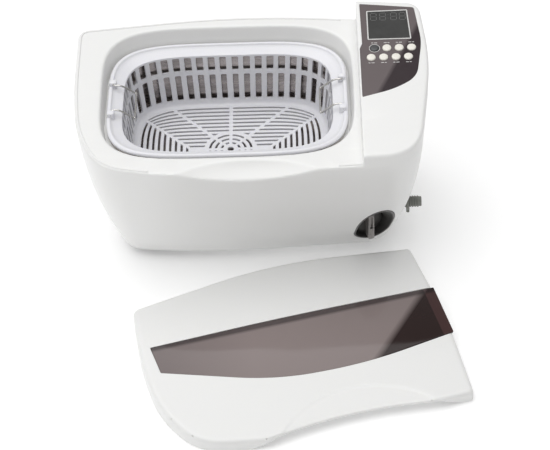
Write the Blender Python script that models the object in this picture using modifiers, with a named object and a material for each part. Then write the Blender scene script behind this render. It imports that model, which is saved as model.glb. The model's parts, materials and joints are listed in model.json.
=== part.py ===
"""Bench-top ultrasonic cleaner with a hanging basket and a loose lid laid down in front of it.

Driving dimensions are in millimetres and MM turns them into metres. X runs to the right, Y to the
back and Z up from the surface that the feet stand on. Shapes are placed from the tank's centre, and
FRAME_SHIFT moves them all so that the origin is the centre of the whole object's footprint.
"""

import math

import bmesh
import bpy
import numpy as np
from mathutils import Matrix, Vector

MM = 0.001
GAP = 0.3                      # air between two pieces that touch in the real object
FRAME_SHIFT = (-37.83, 108.18)   # from the tank's centre to the footprint's centre, negated

# Housing: outlines as (x, y, corner radius), anticlockwise from the back left, seen from above
WIDE = 5000.0                  # a radius that rounds an edge as far as its length allows
BASE_OUTLINE = [(-124, 84, 30), (-128, 15, WIDE), (-122, -46, 40), (20, -59, WIDE),
                (160, -50, 40), (178, 15, WIDE), (172, 82, 30), (20, 98, WIDE)]
TOP_OUTLINE = [(-157, 96, 14), (-161, 10, WIDE), (-152, -116, 62), (10, -117, WIDE),
               (190, -109, 42), (207, 15, WIDE), (199, 95, 18), (20, 113, WIDE)]
BELLY = 1.9                    # how early the wall swings out above the base
SHELL_BOTTOM = 8.0
WALL = 3.0
SHOULDER = 5.0                 # radius between the wall and the pod's top
DECK_HEIGHT, DECK_SLOPE = 179.0, 0.0787    # the deck at y = 0, and its rise towards the back
POD_HEIGHT, POD_SLOPE = 197.5, 0.1337      # the same for the control pod's top
STEP_X = 134.0                 # the pod's left wall

# Tank and basket: superellipses about the tank's centre
TANK_Y = -2.0
ROUNDNESS = 4.2
LEDGE_Z = 164.0                # the housing's ledge that carries the tank's flange
WELL_LOW, WELL_HIGH = (124.5, 91.0), (128.5, 95.5)
TANK_HALF = (112.7, 80.2)
TANK_FLANGE = 9.0
TANK_SHEET = 1.2
TANK_FLOOR = 84.0
RIM_HALF, RIM_TOP = (122.0, 88.5), 172.0
BASKET_TOP, BASKET_LOW = (109.5, 77.2), (103.4, 74.6)
BASKET_WALL = 2.3
BASKET_FLOOR = 101.0
WALL_SLOT_PITCH, WALL_SLOT_WIDTH = 12.4, 6.4
FLOOR_SLOT_PITCH, FLOOR_SLOT_WIDTH = 5.96, 3.0
HUB_RADIUS = 26.0

# Wire handles, folded down into the basket
HANDLE_X, HANDLE_Z = 117.0, 174.2
HANDLE_HALF, HANDLE_REACH, HANDLE_DROP = 21.0, 23.0, 10.5
WIRE_RADIUS = 1.0

# Control panel
OVERLAY_OUTLINE = [(137.8, 94.5, 1), (138.6, 38.5, 1), (136.0, 31.5, 1), (136.2, -33.6, 1),
                   (168, -24, 90), (191.5, -9, 28), (198.6, 40, 90), (193.2, 87.6, 3)]
OVERLAY_THICK = 1.0
WINDOW_CENTRE, WINDOW_SIZE = (166.5, 64.2), (42.5, 41.6)
KEY_RADIUS, KEY_PITCH = 4.6, 12.55
KEY_ROWS = [((150.7, 31.8), "upper"), ((146.9, 19.2), "lower")]

# Drain valve, turned about a horizontal axis that points out of the front right corner
VALVE_POINT = (143.2, -63.0, 42.0)
VALVE_TURN = math.radians(18.0)
CUP_RADIUS, CUP_DEPTH = 19.5, 17.0
VALVE_INSET = 38.0
BARB_FLANGE, BARB_TIP = 181.5, 197.5       # x of the hose connector's flange and of its end

# Lid, in its own frame: u along its back edge, v towards its back, from its back right corner
LID_CORNER, LID_YAW = (183.1, -76.9), math.radians(15.6)
LID_OUTLINE = [(-296, 1, 10), (-304, -70, WIDE), (-301, -130, WIDE), (-275, -182, WIDE),
               (-200, -199.5, WIDE), (-1, -199, 5), (5.8, -95, WIDE), (0, 0, 5), (-142, 22, WIDE)]
LID_HEIGHT, LID_SLOPE = 24.0, 0.0534
LID_WALL = 2.6
BITE_CENTRE, BITE_RADIUS = (-130.0, -619.0), 430.0    # the hollow in the lid's front edge
ARCH_FOOT, ARCH_TOP, ARCH_HEIGHT = (-224.0, -10.0), (-200.0, -36.0), 10.0
PANE_OUTLINE = [(-290.4, -53.6, 1), (-287.8, -87.5, 1), (-180, -129, WIDE), (-90, -134, WIDE),
                (12, -120.5, 1), (12, -59.5, 1), (-150, -53.5, WIDE)]
PANE_THICK = 1.8

FAN_CENTRE = (108.0, 42.0)
TRANSDUCER_X = 52.0
DRAIN_POINT = (84.0, -42.0)

PARTS = bpy.data.collections.new("ultrasonic_cleaner")
CUTTERS = bpy.data.collections.new("cutters")


# ---------------------------------------------------------------- materials and objects

def material(name, colour, roughness, metallic=0.0, alpha=1.0):
    made = bpy.data.materials.new(name)
    made.use_nodes = True
    shader = made.node_tree.nodes["Principled BSDF"]
    shader.inputs["Base Color"].default_value = (*colour, 1.0)
    shader.inputs["Roughness"].default_value = roughness
    shader.inputs["Metallic"].default_value = metallic
    shader.inputs["Alpha"].default_value = alpha
    return made


def clear_scene():
    for obj in list(bpy.data.objects):
        bpy.data.objects.remove(obj, do_unlink=True)
    bpy.context.scene.collection.children.link(PARTS)
    bpy.context.scene.collection.children.link(CUTTERS)


def add(name, bm, look=None, parent=None):
    """A node from the mesh in bm, whose points are in millimetres. Without a look it is a cutter."""
    bmesh.ops.recalc_face_normals(bm, faces=bm.faces)
    bmesh.ops.scale(bm, vec=(MM, MM, MM), verts=bm.verts)
    mesh = bpy.data.meshes.new(name)
    bm.to_mesh(mesh)
    bm.free()
    obj = bpy.data.objects.new(name, mesh)
    obj.parent = parent or FRAME
    if look is None:
        CUTTERS.objects.link(obj)
        obj.hide_render = True
        obj.display_type = "WIRE"
    else:
        PARTS.objects.link(obj)
        mesh.materials.append(LOOKS[look])
        mesh.shade_smooth()
        mesh.set_sharp_from_angle(angle=math.radians(35))
    return obj


def empty(name, place=(0, 0, 0), turn=(0, 0, 0), parent=None):
    obj = bpy.data.objects.new(name, None)
    obj.location = Vector(place) * MM
    obj.rotation_euler = turn
    obj.parent = parent
    PARTS.objects.link(obj)
    return obj


def boolean(target, tool, operation="DIFFERENCE", self_crossing=False):
    modifier = target.modifiers.new(operation.lower(), "BOOLEAN")
    modifier.operation = operation
    modifier.solver = "EXACT"
    modifier.use_self = self_crossing
    modifier.object = tool


def screw_turned(name, profile, look, parent=None, steps=16):
    """A turned piece: profile runs down its outer side as (radius, height), about the local Z axis."""
    bm = bmesh.new()
    points = [bm.verts.new((radius, 0, height)) for radius, height in profile]
    for first, second in zip(points, points[1:]):
        bm.edges.new((first, second))
    obj = add(name, bm, look, parent)
    turn = obj.modifiers.new("turn", "SCREW")
    turn.steps = turn.render_steps = steps
    turn.use_merge_vertices = True
    turn.merge_threshold = 0.00001
    turn.use_smooth_shade = True
    return obj


# ---------------------------------------------------------------- outlines and solids

def rounded_loop(corners, steps=4):
    """The outline through the corners (x, y, radius), with steps + 1 points round each."""
    places = [Vector(corner[:2]) for corner in corners]
    loop = []
    for index, (x, y, radius) in enumerate(corners):
        corner = Vector((x, y))
        before = places[index - 1] - corner
        after = places[(index + 1) % len(places)] - corner
        turn = math.pi - before.angle(after)
        reach = min(radius * math.tan(turn / 2), 0.46 * before.length, 0.46 * after.length)
        start, end = corner + before.normalized() * reach, corner + after.normalized() * reach
        for step in range(steps + 1):
            t = step / steps
            loop.append((1 - t) ** 2 * start + 2 * t * (1 - t) * corner + t ** 2 * end)
    return loop


def inset_loop(loop, amount):
    """The outline moved inwards, where loop runs anticlockwise."""
    moved = []
    for index, point in enumerate(loop):
        along = loop[(index + 1) % len(loop)] - loop[index - 1]
        moved.append(point + Vector((-along.y, along.x)).normalized() * amount)
    return moved


def inset_corners(corners, amount):
    """The outline's corners after each of its edges has moved inwards."""
    places = [Vector(corner[:2]) for corner in corners]
    moved = []
    for index, corner in enumerate(corners):
        before = (places[index] - places[index - 1]).normalized()
        after = (places[(index + 1) % len(places)] - places[index]).normalized()
        first, second = Vector((-before.y, before.x)), Vector((-after.y, after.x))
        shift = (first + second) * amount / (1 + first.dot(second))
        moved.append((*(places[index] + shift), corner[2]))
    return moved


def oval(half, count=40, centre=(0.0, TANK_Y), roundness=ROUNDNESS):
    """A superellipse with half its width and depth given."""
    loop = []
    for index in range(count):
        angle = 2 * math.pi * (index + 0.5) / count
        c, s = math.cos(angle), math.sin(angle)
        loop.append(Vector((centre[0] + half[0] * math.copysign(abs(c) ** (2 / roundness), c),
                            centre[1] + half[1] * math.copysign(abs(s) ** (2 / roundness), s))))
    return loop


def loft(rings):
    """A closed solid through rings of the same number of points, flat across both ends."""
    bm = bmesh.new()
    made = [[bm.verts.new(point) for point in ring] for ring in rings]
    count = len(rings[0])
    for low, high in zip(made, made[1:]):
        for index in range(count):
            after = (index + 1) % count
            bm.faces.new((low[index], low[after], high[after]))
            bm.faces.new((low[index], high[after], high[index]))
    bm.faces.new(list(reversed(made[0])))
    bm.faces.new(made[-1])
    return bm


def ring_body(rings):
    """A closed ring of material: the rings run round its section, and the last joins the first."""
    bm = bmesh.new()
    made = [[bm.verts.new(point) for point in ring] for ring in rings]
    count = len(rings[0])
    for low, high in zip(made, made[1:] + made[:1]):
        for index in range(count):
            after = (index + 1) % count
            bm.faces.new((low[index], low[after], high[after], high[index]))
    return bm


def at_height(loop, height):
    """The outline lifted to a height, which may be a number or a function of x and y."""
    if callable(height):
        return [(point.x, point.y, height(point.x, point.y)) for point in loop]
    return [(point.x, point.y, height) for point in loop]


def prism(loop, low, high):
    return loft([at_height(loop, low), at_height(loop, high)])


def box(low, high):
    bm = bmesh.new()
    bmesh.ops.create_cube(bm, size=1.0)
    size = Vector(high) - Vector(low)
    bmesh.ops.scale(bm, vec=size, verts=bm.verts)
    bmesh.ops.translate(bm, vec=(Vector(low) + Vector(high)) / 2, verts=bm.verts)
    return bm


def shear(bm, slope):
    """Lifts every point by slope times its y."""
    for vert in bm.verts:
        vert.co.z += slope * vert.co.y
    return bm


def rod(radius, low, high, centre=(0, 0), steps=16):
    bm = bmesh.new()
    bmesh.ops.create_cone(bm, cap_ends=True, segments=steps, radius1=radius, radius2=radius,
                          depth=high - low)
    bmesh.ops.translate(bm, vec=(*centre, (low + high) / 2), verts=bm.verts)
    return bm


def turned_bm(bm, matrix):
    bmesh.ops.transform(bm, matrix=matrix, verts=bm.verts)
    return bm


def joined(pieces):
    """Several meshes in one, used for cutters whose pieces stay apart."""
    whole = bmesh.new()
    for piece in pieces:
        mesh = bpy.data.meshes.new("piece")
        bmesh.ops.recalc_face_normals(piece, faces=piece.faces)
        piece.to_mesh(mesh)
        piece.free()
        whole.from_mesh(mesh)
        bpy.data.meshes.remove(mesh)
    return whole


def tube(name, points, radius, look, parent=None, resolution=2):
    """A wire or hose through the points, with flat ends."""
    curve = bpy.data.curves.new(name, "CURVE")
    curve.dimensions = "3D"
    curve.bevel_depth = radius * MM
    curve.bevel_resolution = resolution
    curve.use_fill_caps = True
    spline = curve.splines.new("POLY")
    spline.points.add(len(points) - 1)
    for target, point in zip(spline.points, points):
        target.co = (*(Vector(point) * MM), 1.0)
    obj = bpy.data.objects.new(name, curve)
    obj.parent = parent or FRAME
    curve.materials.append(LOOKS[look])
    PARTS.objects.link(obj)
    return obj


def smooth_route(points, steps=5):
    """Points on a Catmull-Rom curve through the given points."""
    ends = [2 * Vector(points[0]) - Vector(points[1])] + [Vector(p) for p in points]
    ends.append(2 * Vector(points[-1]) - Vector(points[-2]))
    route = []
    for a, b, c, d in zip(ends, ends[1:], ends[2:], ends[3:]):
        for step in range(steps):
            t = step / steps
            route.append(0.5 * (2 * b + (c - a) * t + (2 * a - 5 * b + 4 * c - d) * t ** 2
                                + (3 * b - a - 3 * c + d) * t ** 3))
    route.append(Vector(points[-1]))
    return route


# ---------------------------------------------------------------- housing

def deck_height(x, y):
    return DECK_HEIGHT + DECK_SLOPE * y


def pod_height(x, y):
    return POD_HEIGHT + POD_SLOPE * y


def body_loop(fraction, inset=0.0):
    """The wall's outline at a fraction of the way from the base to the top."""
    swing = 1 - (1 - fraction) ** BELLY
    corners = [tuple(low + swing * (high - low) for low, high in zip(base, top))
               for base, top in zip(BASE_OUTLINE, TOP_OUTLINE)]
    loop = rounded_loop(corners)
    return inset_loop(loop, inset) if inset else loop


def body_ring(fraction, inset=0.0, drop=0.0):
    """A ring of the wall, which tilts as it climbs so that the last one lies in the pod's top."""
    return [(point.x, point.y, SHELL_BOTTOM + fraction
             * (pod_height(point.x, point.y) - SHELL_BOTTOM) - drop)
            for point in body_loop(fraction, inset)]


def body_solid(inset, drop, foot):
    """The housing's outside, or with an inset its inside, as one solid. foot lengthens it down."""
    rings = []
    if foot:
        rings.append(at_height(body_loop(0.0, inset), SHELL_BOTTOM - foot))
    for fraction in (0.0, 0.08, 0.2, 0.36, 0.56, 0.8):
        rings.append(body_ring(fraction, inset))
    for angle in (0, 45, 90):
        curl = SHOULDER * (1 - math.cos(math.radians(angle)))
        fall = SHOULDER * (1 - math.sin(math.radians(angle)))
        rings.append(body_ring(1.0, inset + curl, drop + fall))
    return loft(rings)


def deck_void(lower, beyond):
    """Everything above the deck, left of the pod."""
    return shear(box((-300, -220, DECK_HEIGHT - lower), (STEP_X + beyond, 220, 320)), DECK_SLOPE)


def wall_y(x, height, front=True):
    """Where the outer wall crosses x at a height above the ground."""
    fraction = (height - SHELL_BOTTOM) / (pod_height(x, 0) - SHELL_BOTTOM)
    loop = body_loop(fraction)
    found = []
    for first, second in zip(loop, loop[1:] + loop[:1]):
        if (first.x - x) * (second.x - x) <= 0 and first.x != second.x:
            share = (x - first.x) / (second.x - first.x)
            found.append(first.y + share * (second.y - first.y))
    return min(found) if front else max(found)


def valve_axis():
    """Local -Y points out of the front right corner, and the origin is on the wall there."""
    return Matrix.Translation(VALVE_POINT) @ Matrix.Rotation(VALVE_TURN, 4, "Z")


def valve_centre():
    return valve_axis() @ Vector((0, VALVE_INSET, 0))


def valve_rod(radius, start, end, steps=28):
    """A cylinder on the valve's axis: start and end are distances behind the wall."""
    bm = rod(radius, start, end, steps=steps)
    turn = valve_axis() @ Matrix.Rotation(math.radians(-90), 4, "X")
    return turned_bm(bm, turn)


def outlet_rod(radius, start, end):
    """A cylinder on the outlet's axis: start and end are distances to the right of the valve."""
    turn = Matrix.Translation(valve_centre()) @ Matrix.Rotation(math.radians(90), 4, "Y")
    return turned_bm(rod(radius, start, end), turn)


def scoop(extra):
    """The finger scoop that dips across the deck's front edge."""
    bm = bmesh.new()
    bmesh.ops.create_uvsphere(bm, u_segments=24, v_segments=12, radius=1.0)
    bmesh.ops.scale(bm, vec=(74 + extra, 34 + extra, 18 + extra), verts=bm.verts)
    bmesh.ops.translate(bm, vec=(22.5, -122, 178), verts=bm.verts)
    return bm


def panel_hole(centre, radius):
    """A hole through the pod's top, square to it."""
    x, y = centre
    bm = rod(radius, -12, 12, steps=12)
    place = Matrix.Translation((x, y, pod_height(x, y))) @ Matrix.Rotation(PANEL_TILT, 4, "X")
    return turned_bm(bm, place)


def key_centres():
    return [(f"key_{row}_{index + 1}", (start[0] + KEY_PITCH * index, start[1]))
            for start, row in KEY_ROWS for index in range(4)]


def boss_places():
    return [(-104, -24), (-104, 66), (152, -22), (150, 66)]


def make_housing():
    inside = add("housing_inside", body_solid(WALL, WALL, 6.0))
    boolean(inside, add("deck_underside", deck_void(WALL, WALL)))
    keep = [prism(oval((WELL_HIGH[0] + WALL, WELL_HIGH[1] + WALL), centre=(0, -1)),
                  LEDGE_Z - WALL, 230), scoop(WALL)]
    for x, y in boss_places():
        keep.append(rod(5.0, 11.4, 34, centre=(x, y)))
    for block in keep:
        boolean(inside, add("housing_keep", block))
    for x, y in boss_places():
        web = (x - 60, x) if x < 0 else (x, x + 60)
        boolean(inside, add("boss_web", box((web[0], y - 2, 11.4), (web[1], y + 2, 34))))
    shell = add("housing_shell", body_solid(0.0, 0.0, 0.0), "white_abs")
    boolean(shell, add("above_deck", deck_void(0.0, 0.0)))
    boolean(shell, inside)
    low, high = (oval(half, centre=(0, middle)) for half, middle in ((WELL_LOW, TANK_Y),
                                                                     (WELL_HIGH, -1.0)))
    lift = at_height(high, lambda x, y: deck_height(x, y) + 0.5)
    well = loft([at_height(low, LEDGE_Z), lift, at_height(high, 240)])
    boolean(shell, add("well", well))
    opening = oval((TANK_HALF[0] + 0.8, TANK_HALF[1] + 0.8))
    boolean(shell, add("tank_opening", prism(opening, LEDGE_Z - 20, LEDGE_Z + 5)))
    boolean(shell, add("finger_scoop", scoop(0.0)))
    boolean(shell, add("valve_hole", valve_rod(CUP_RADIUS + GAP, -25, 30)))
    boolean(shell, add("barb_hole", outlet_rod(6.6, 25, 90)))
    x, y, z = INLET_PLACE
    boolean(shell, add("inlet_hole", box((x - 14.3, y - 12, z - 10.6), (x + 14.3, y + 12, z + 10.6))))
    boolean(shell, add("inlet_seat", box((x - 25.3, y - 1.4, z - 11.8), (x + 25.3, y + 12, z + 11.8))))
    seat = rounded_loop(OVERLAY_OUTLINE, 3)
    seat = inset_loop(seat, -GAP)
    under = lambda x, y: pod_height(x, y) - OVERLAY_THICK - GAP
    boolean(shell, add("overlay_seat", prism(seat, under, lambda x, y: pod_height(x, y) + 9)))
    holes = [panel_hole(centre, KEY_RADIUS + 0.4) for _, centre in key_centres()]
    boolean(shell, add("key_holes", joined(holes)))
    (x, y), (width, depth) = WINDOW_CENTRE, WINDOW_SIZE
    display = shear(box((x - width / 2 + 2, y - depth / 2 + 2, POD_HEIGHT - 14),
                        (x + width / 2 - 2, y + depth / 2 - 2, POD_HEIGHT + 9)), POD_SLOPE)
    boolean(shell, add("display_hole", display))
    pilots = [rod(1.8, 11.0, 31, centre=place, steps=10) for place in boss_places()]
    boolean(shell, add("boss_pilots", joined(pilots)))


def make_base():
    """The floor plate inside the shell's bottom edge, with its feet, screws and vents."""
    plate = prism(body_loop(0.0, WALL + 0.6), SHELL_BOTTOM + 0.2, SHELL_BOTTOM + 3.0)
    base = add("base_plate", plate, "white_abs")
    cuts = [rod(1.9, 5, 14, centre=place, steps=10) for place in boss_places()]
    for index in range(7):
        x = FAN_CENTRE[0] - 21 + 7 * index
        half = math.sqrt(23 ** 2 - (x - FAN_CENTRE[0]) ** 2)
        cuts.append(box((x - 1.7, FAN_CENTRE[1] - half, 5), (x + 1.7, FAN_CENTRE[1] + half, 14)))
    for index in range(8):
        x = -100 + 9 * index
        cuts.append(box((x - 2, -36, 5), (x + 2, -12, 14)))
    boolean(base, add("base_cuts", joined(cuts)))
    places = zip(("front_left", "back_left", "front_right", "back_right"), boss_places())
    for where, (x, y) in places:
        profile = [(0, 7.6), (9.5, 7.6), (9.5, 6.5), (8.2, 0.6), (7.6, 0), (0, 0)]
        toe = x - 14 if x > 0 else x + 14
        foot = screw_turned(f"foot_{where}", profile, "black_rubber")
        foot.location = Vector((toe, y - 6 if y < 0 else y + 4, 0)) * MM
        shank = [(0, 28), (1.5, 27), (1.5, 7.9), (3.1, 7.9), (3.1, 6.6), (2.2, 5.6), (0, 5.6)]
        screw = screw_turned(f"base_screw_{where}", shank, "zinc_steel", steps=8)
        screw.location = Vector((x, y, 0)) * MM


# ---------------------------------------------------------------- tank and basket

def make_tank():
    sheet, floor = TANK_SHEET, TANK_FLOOR
    outer = TANK_HALF
    flange = (outer[0] + TANK_FLANGE, outer[1] + TANK_FLANGE)
    top = LEDGE_Z + 1.5 + GAP + sheet + GAP

    def ring(half, shrink, height):
        return at_height(oval((half[0] - shrink, half[1] - shrink)), height)

    rings = [ring(outer, 22, floor), ring(outer, 10, floor), ring(outer, 4, floor + 3.5),
             ring(outer, sheet, floor + 11), ring(outer, sheet, top), ring(flange, 0, top),
             ring(flange, 0, top - sheet), ring(outer, 0, top - sheet), ring(outer, 0, floor + 10.5),
             ring(outer, 3, floor + 2.6), ring(outer, 9.6, floor - sheet), ring(outer, 22, floor - sheet)]
    tank = add("tank", loft(rings), "stainless")
    boolean(tank, add("drain_hole", rod(5.0, floor - 8, floor + 8, centre=DRAIN_POINT)))
    low, high = LEDGE_Z + GAP, LEDGE_Z + 1.5
    gap_in = (outer[0] + 1.4, outer[1] + 1.4)
    rings = [ring(gap_in, 0, low), ring(flange, 0.8, low), ring(flange, 0.8, high), ring(gap_in, 0, high)]
    add("tank_gasket", ring_body(rings), "grey_silicone")


def basket_wall_half(height):
    """Half the basket's outer width and depth at a height."""
    share = (height - BASKET_FLOOR) / (RIM_TOP - BASKET_FLOOR)
    return tuple(low + share * (high - low) for low, high in zip(BASKET_LOW, BASKET_TOP))


def wall_slots(low, high, width, pitch):
    """Boxes through the basket's wall at an even pitch all round it."""
    middle = (low + high) / 2
    loop = oval(basket_wall_half(middle), 720)
    lengths = [0.0]
    for first, second in zip(loop, loop[1:] + loop[:1]):
        lengths.append(lengths[-1] + (second - first).length)
    count = 4 * round(lengths[-1] / pitch / 4)
    slots = []
    for index in range(count):
        target = (index + 0.5) * lengths[-1] / count + lengths[-1] / 4
        here = int(np.searchsorted(lengths, target % lengths[-1])) % len(loop)
        along = loop[(here + 3) % len(loop)] - loop[here - 3]
        slot = box((-width / 2, -4.5, low), (width / 2, 6.0, high))
        place = Matrix.Translation((loop[here].x, loop[here].y, 0))
        slots.append(turned_bm(slot, place @ Matrix.Rotation(math.atan2(along.y, along.x), 4, "Z")))
    return slots


def floor_slots():
    """Every second floor slot: straight behind and before the hub, and along the two ends."""
    slots = []
    half = FLOOR_SLOT_WIDTH / 2
    inner = (BASKET_LOW[0] - 7.5, BASKET_LOW[1] - 6.5)
    for side in (1, -1):
        for row in range(6):
            y = inner[1] - 2 * FLOOR_SLOT_PITCH * row
            reach = 48.0 + (y - 8.0) * 0.60
            if y < 14:
                continue
            near = 2.0 if y > HUB_RADIUS + 3 else math.sqrt((HUB_RADIUS + 3) ** 2 - y ** 2)
            for way in (1, -1):
                ends = sorted((way * near, way * reach))
                rows = sorted((side * (y - half), side * (y + half)))
                slots.append(box((ends[0], TANK_Y + rows[0], 90), (ends[1], TANK_Y + rows[1], 110)))
        for column in range(5):
            x = inner[0] - 2 * FLOOR_SLOT_PITCH * column
            reach = 4.0 + (x - 42.0) * 0.95
            columns = sorted((side * (x - half), side * (x + half)))
            slots.append(box((columns[0], TANK_Y - reach, 90), (columns[1], TANK_Y + reach, 110)))
    slots.append(rod(2.5, 90, 110, centre=(0, TANK_Y), steps=12))
    for index in range(8):
        angle = math.radians(45 * index + 22.5)
        centre = (15.5 * math.cos(angle), TANK_Y + 15.5 * math.sin(angle))
        slots.append(rod(3.6, 90, 110, centre=centre, steps=10))
    return slots


def make_basket():
    wall, floor, top = BASKET_WALL, BASKET_FLOOR, RIM_TOP

    def ring(half, shrink, height):
        return at_height(oval((half[0] - shrink, half[1] - shrink), 32), height)

    high, low = BASKET_TOP, BASKET_LOW
    rings = [ring(low, wall + 3, floor), ring(low, wall, floor + 3), ring(high, wall + 0.4, top - 3),
             ring(high, wall - 1.2, top - 0.6), ring(RIM_HALF, 1.0, top), ring(RIM_HALF, 0, top - 1.6),
             ring(RIM_HALF, 0.4, top - 4.0), ring(RIM_HALF, 2.4, top - 2.2), ring(high, 0, top - 3.4),
             ring(low, 0, floor + 2), ring(low, 3.4, floor - 2.4)]
    basket = add("basket", loft(rings), "basket_plastic", BASKET_FRAME)
    clips, bores = [], []
    for side in (1, -1):
        for end in (1, -1):
            y = TANK_Y + end * (HANDLE_HALF + 3.2)
            x = side * HANDLE_X
            clips.append(box((x - 2.6, y - 2.3, top - 1.5), (x + 2.6, y + 2.3, HANDLE_Z + 2.6)))
            hole = turned_bm(rod(WIRE_RADIUS + 0.3, y - 4, y + 4, steps=12),
                             Matrix.Rotation(math.radians(-90), 4, "X"))
            bores.append(turned_bm(hole, Matrix.Translation((x, 0, HANDLE_Z))))
    for clip in clips:
        boolean(basket, add("rim_clip", clip, parent=BASKET_FRAME), "UNION")
    boolean(basket, add("clip_bores", joined(bores), parent=BASKET_FRAME))
    upper = wall_slots(RIM_TOP - 28.0, RIM_TOP - 13.6, WALL_SLOT_WIDTH, WALL_SLOT_PITCH)
    lower = wall_slots(BASKET_FLOOR + 7.0, RIM_TOP - 32.4, WALL_SLOT_WIDTH - 0.6, WALL_SLOT_PITCH)
    boolean(basket, add("upper_slots", joined(upper), parent=BASKET_FRAME), self_crossing=True)
    boolean(basket, add("lower_slots", joined(lower), parent=BASKET_FRAME), self_crossing=True)
    boolean(basket, add("floor_slots", joined(floor_slots()), parent=BASKET_FRAME))


def make_handle(name, side):
    """A wire bail: two arms turned outwards through the rim's clips, joined by a bar."""
    pivot = empty(f"{name}_pivot", (side * HANDLE_X, TANK_Y, HANDLE_Z), parent=BASKET_FRAME)
    reach, drop, half = -side * HANDLE_REACH, -HANDLE_DROP, HANDLE_HALF
    end, bend = half + 6.6, 1.6
    inward = -side
    right_arm = [(0, -end, 0), (0, -half - 0.4, 0), (inward * 0.8, -half + bend * 0.6, 0.2),
                 (inward * 3.0, -half + bend, 0.4), (inward * 9.0, -half + bend, -0.8),
                 (reach - inward * 2.4, -half + bend, drop + 1.2),
                 (reach - inward * 0.6, -half + bend + 0.8, drop + 0.2), (reach, -half + bend + 2.8, drop)]
    points = right_arm + [(x, -y, z) for x, y, z in reversed(right_arm)]
    tube(name, points, WIRE_RADIUS, "bright_wire", pivot)


# ---------------------------------------------------------------- control pod

def panel_place(x, y, depth=0.0):
    """A point on the pod's top, or depth below it, square to it."""
    down = Vector((0, math.sin(PANEL_TILT), -math.cos(PANEL_TILT)))
    return Vector((x, y, pod_height(x, y))) + down * depth


def panel_box(low, high, centre, depth):
    """A box lying parallel to the pod's top, below it by depth."""
    place = Matrix.Translation(panel_place(*centre, depth)) @ Matrix.Rotation(PANEL_TILT, 4, "X")
    return turned_bm(box(low, high), place)


def make_panel():
    top = lambda x, y: pod_height(x, y) - 0.1
    under = lambda x, y: pod_height(x, y) - 0.1 - OVERLAY_THICK
    overlay = add("panel_overlay", prism(rounded_loop(OVERLAY_OUTLINE, 3), under, top), "dark_acrylic")
    holes = [panel_hole(centre, KEY_RADIUS + 0.35) for _, centre in key_centres()]
    boolean(overlay, add("overlay_key_holes", joined(holes)))
    (x, y), (width, depth) = WINDOW_CENTRE, WINDOW_SIZE
    window = [(x - width / 2 - 1.2, y - depth / 2, 1.5), (x + width / 2 + 1.2, y - depth / 2, 1.5),
              (x + width / 2 - 1.2, y + depth / 2, 1.5), (x - width / 2 - 1.2, y + depth / 2 - 0.8, 1.5)]
    pane = rounded_loop(window, 2)
    hole = prism(inset_loop(pane, -GAP), lambda x, y: pod_height(x, y) - 9,
                 lambda x, y: pod_height(x, y) + 9)
    boolean(overlay, add("overlay_window_hole", hole))
    add("display_window", prism(pane, under, lambda x, y: pod_height(x, y) + 0.1), "clear_smoke")
    for name, centre in key_centres():
        pivot = empty(f"{name}_guide", panel_place(*centre), (PANEL_TILT, 0, 0), FRAME)
        cap = [(0, 1.3), (KEY_RADIUS - 0.6, 1.0), (KEY_RADIUS, 0.3), (KEY_RADIUS, -3.5),
               (KEY_RADIUS + 1.1, -3.5), (KEY_RADIUS + 1.1, -4.4), (0, -4.4)]
        look = "dark_key" if name == "key_upper_1" else "ivory_key"
        screw_turned(name, cap, look, pivot, steps=12)
    board = panel_box((-25, -57, -0.8), (25, 52, 0.8), (165.5, 28), 12.2)
    add("control_board", board, "green_board")
    module = panel_box((-19.5, -19.5, -3.2), (19.5, 19.5, 3.2), WINDOW_CENTRE, 7.8)
    add("display_module", module, "black_plastic")


# ---------------------------------------------------------------- drain

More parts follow.
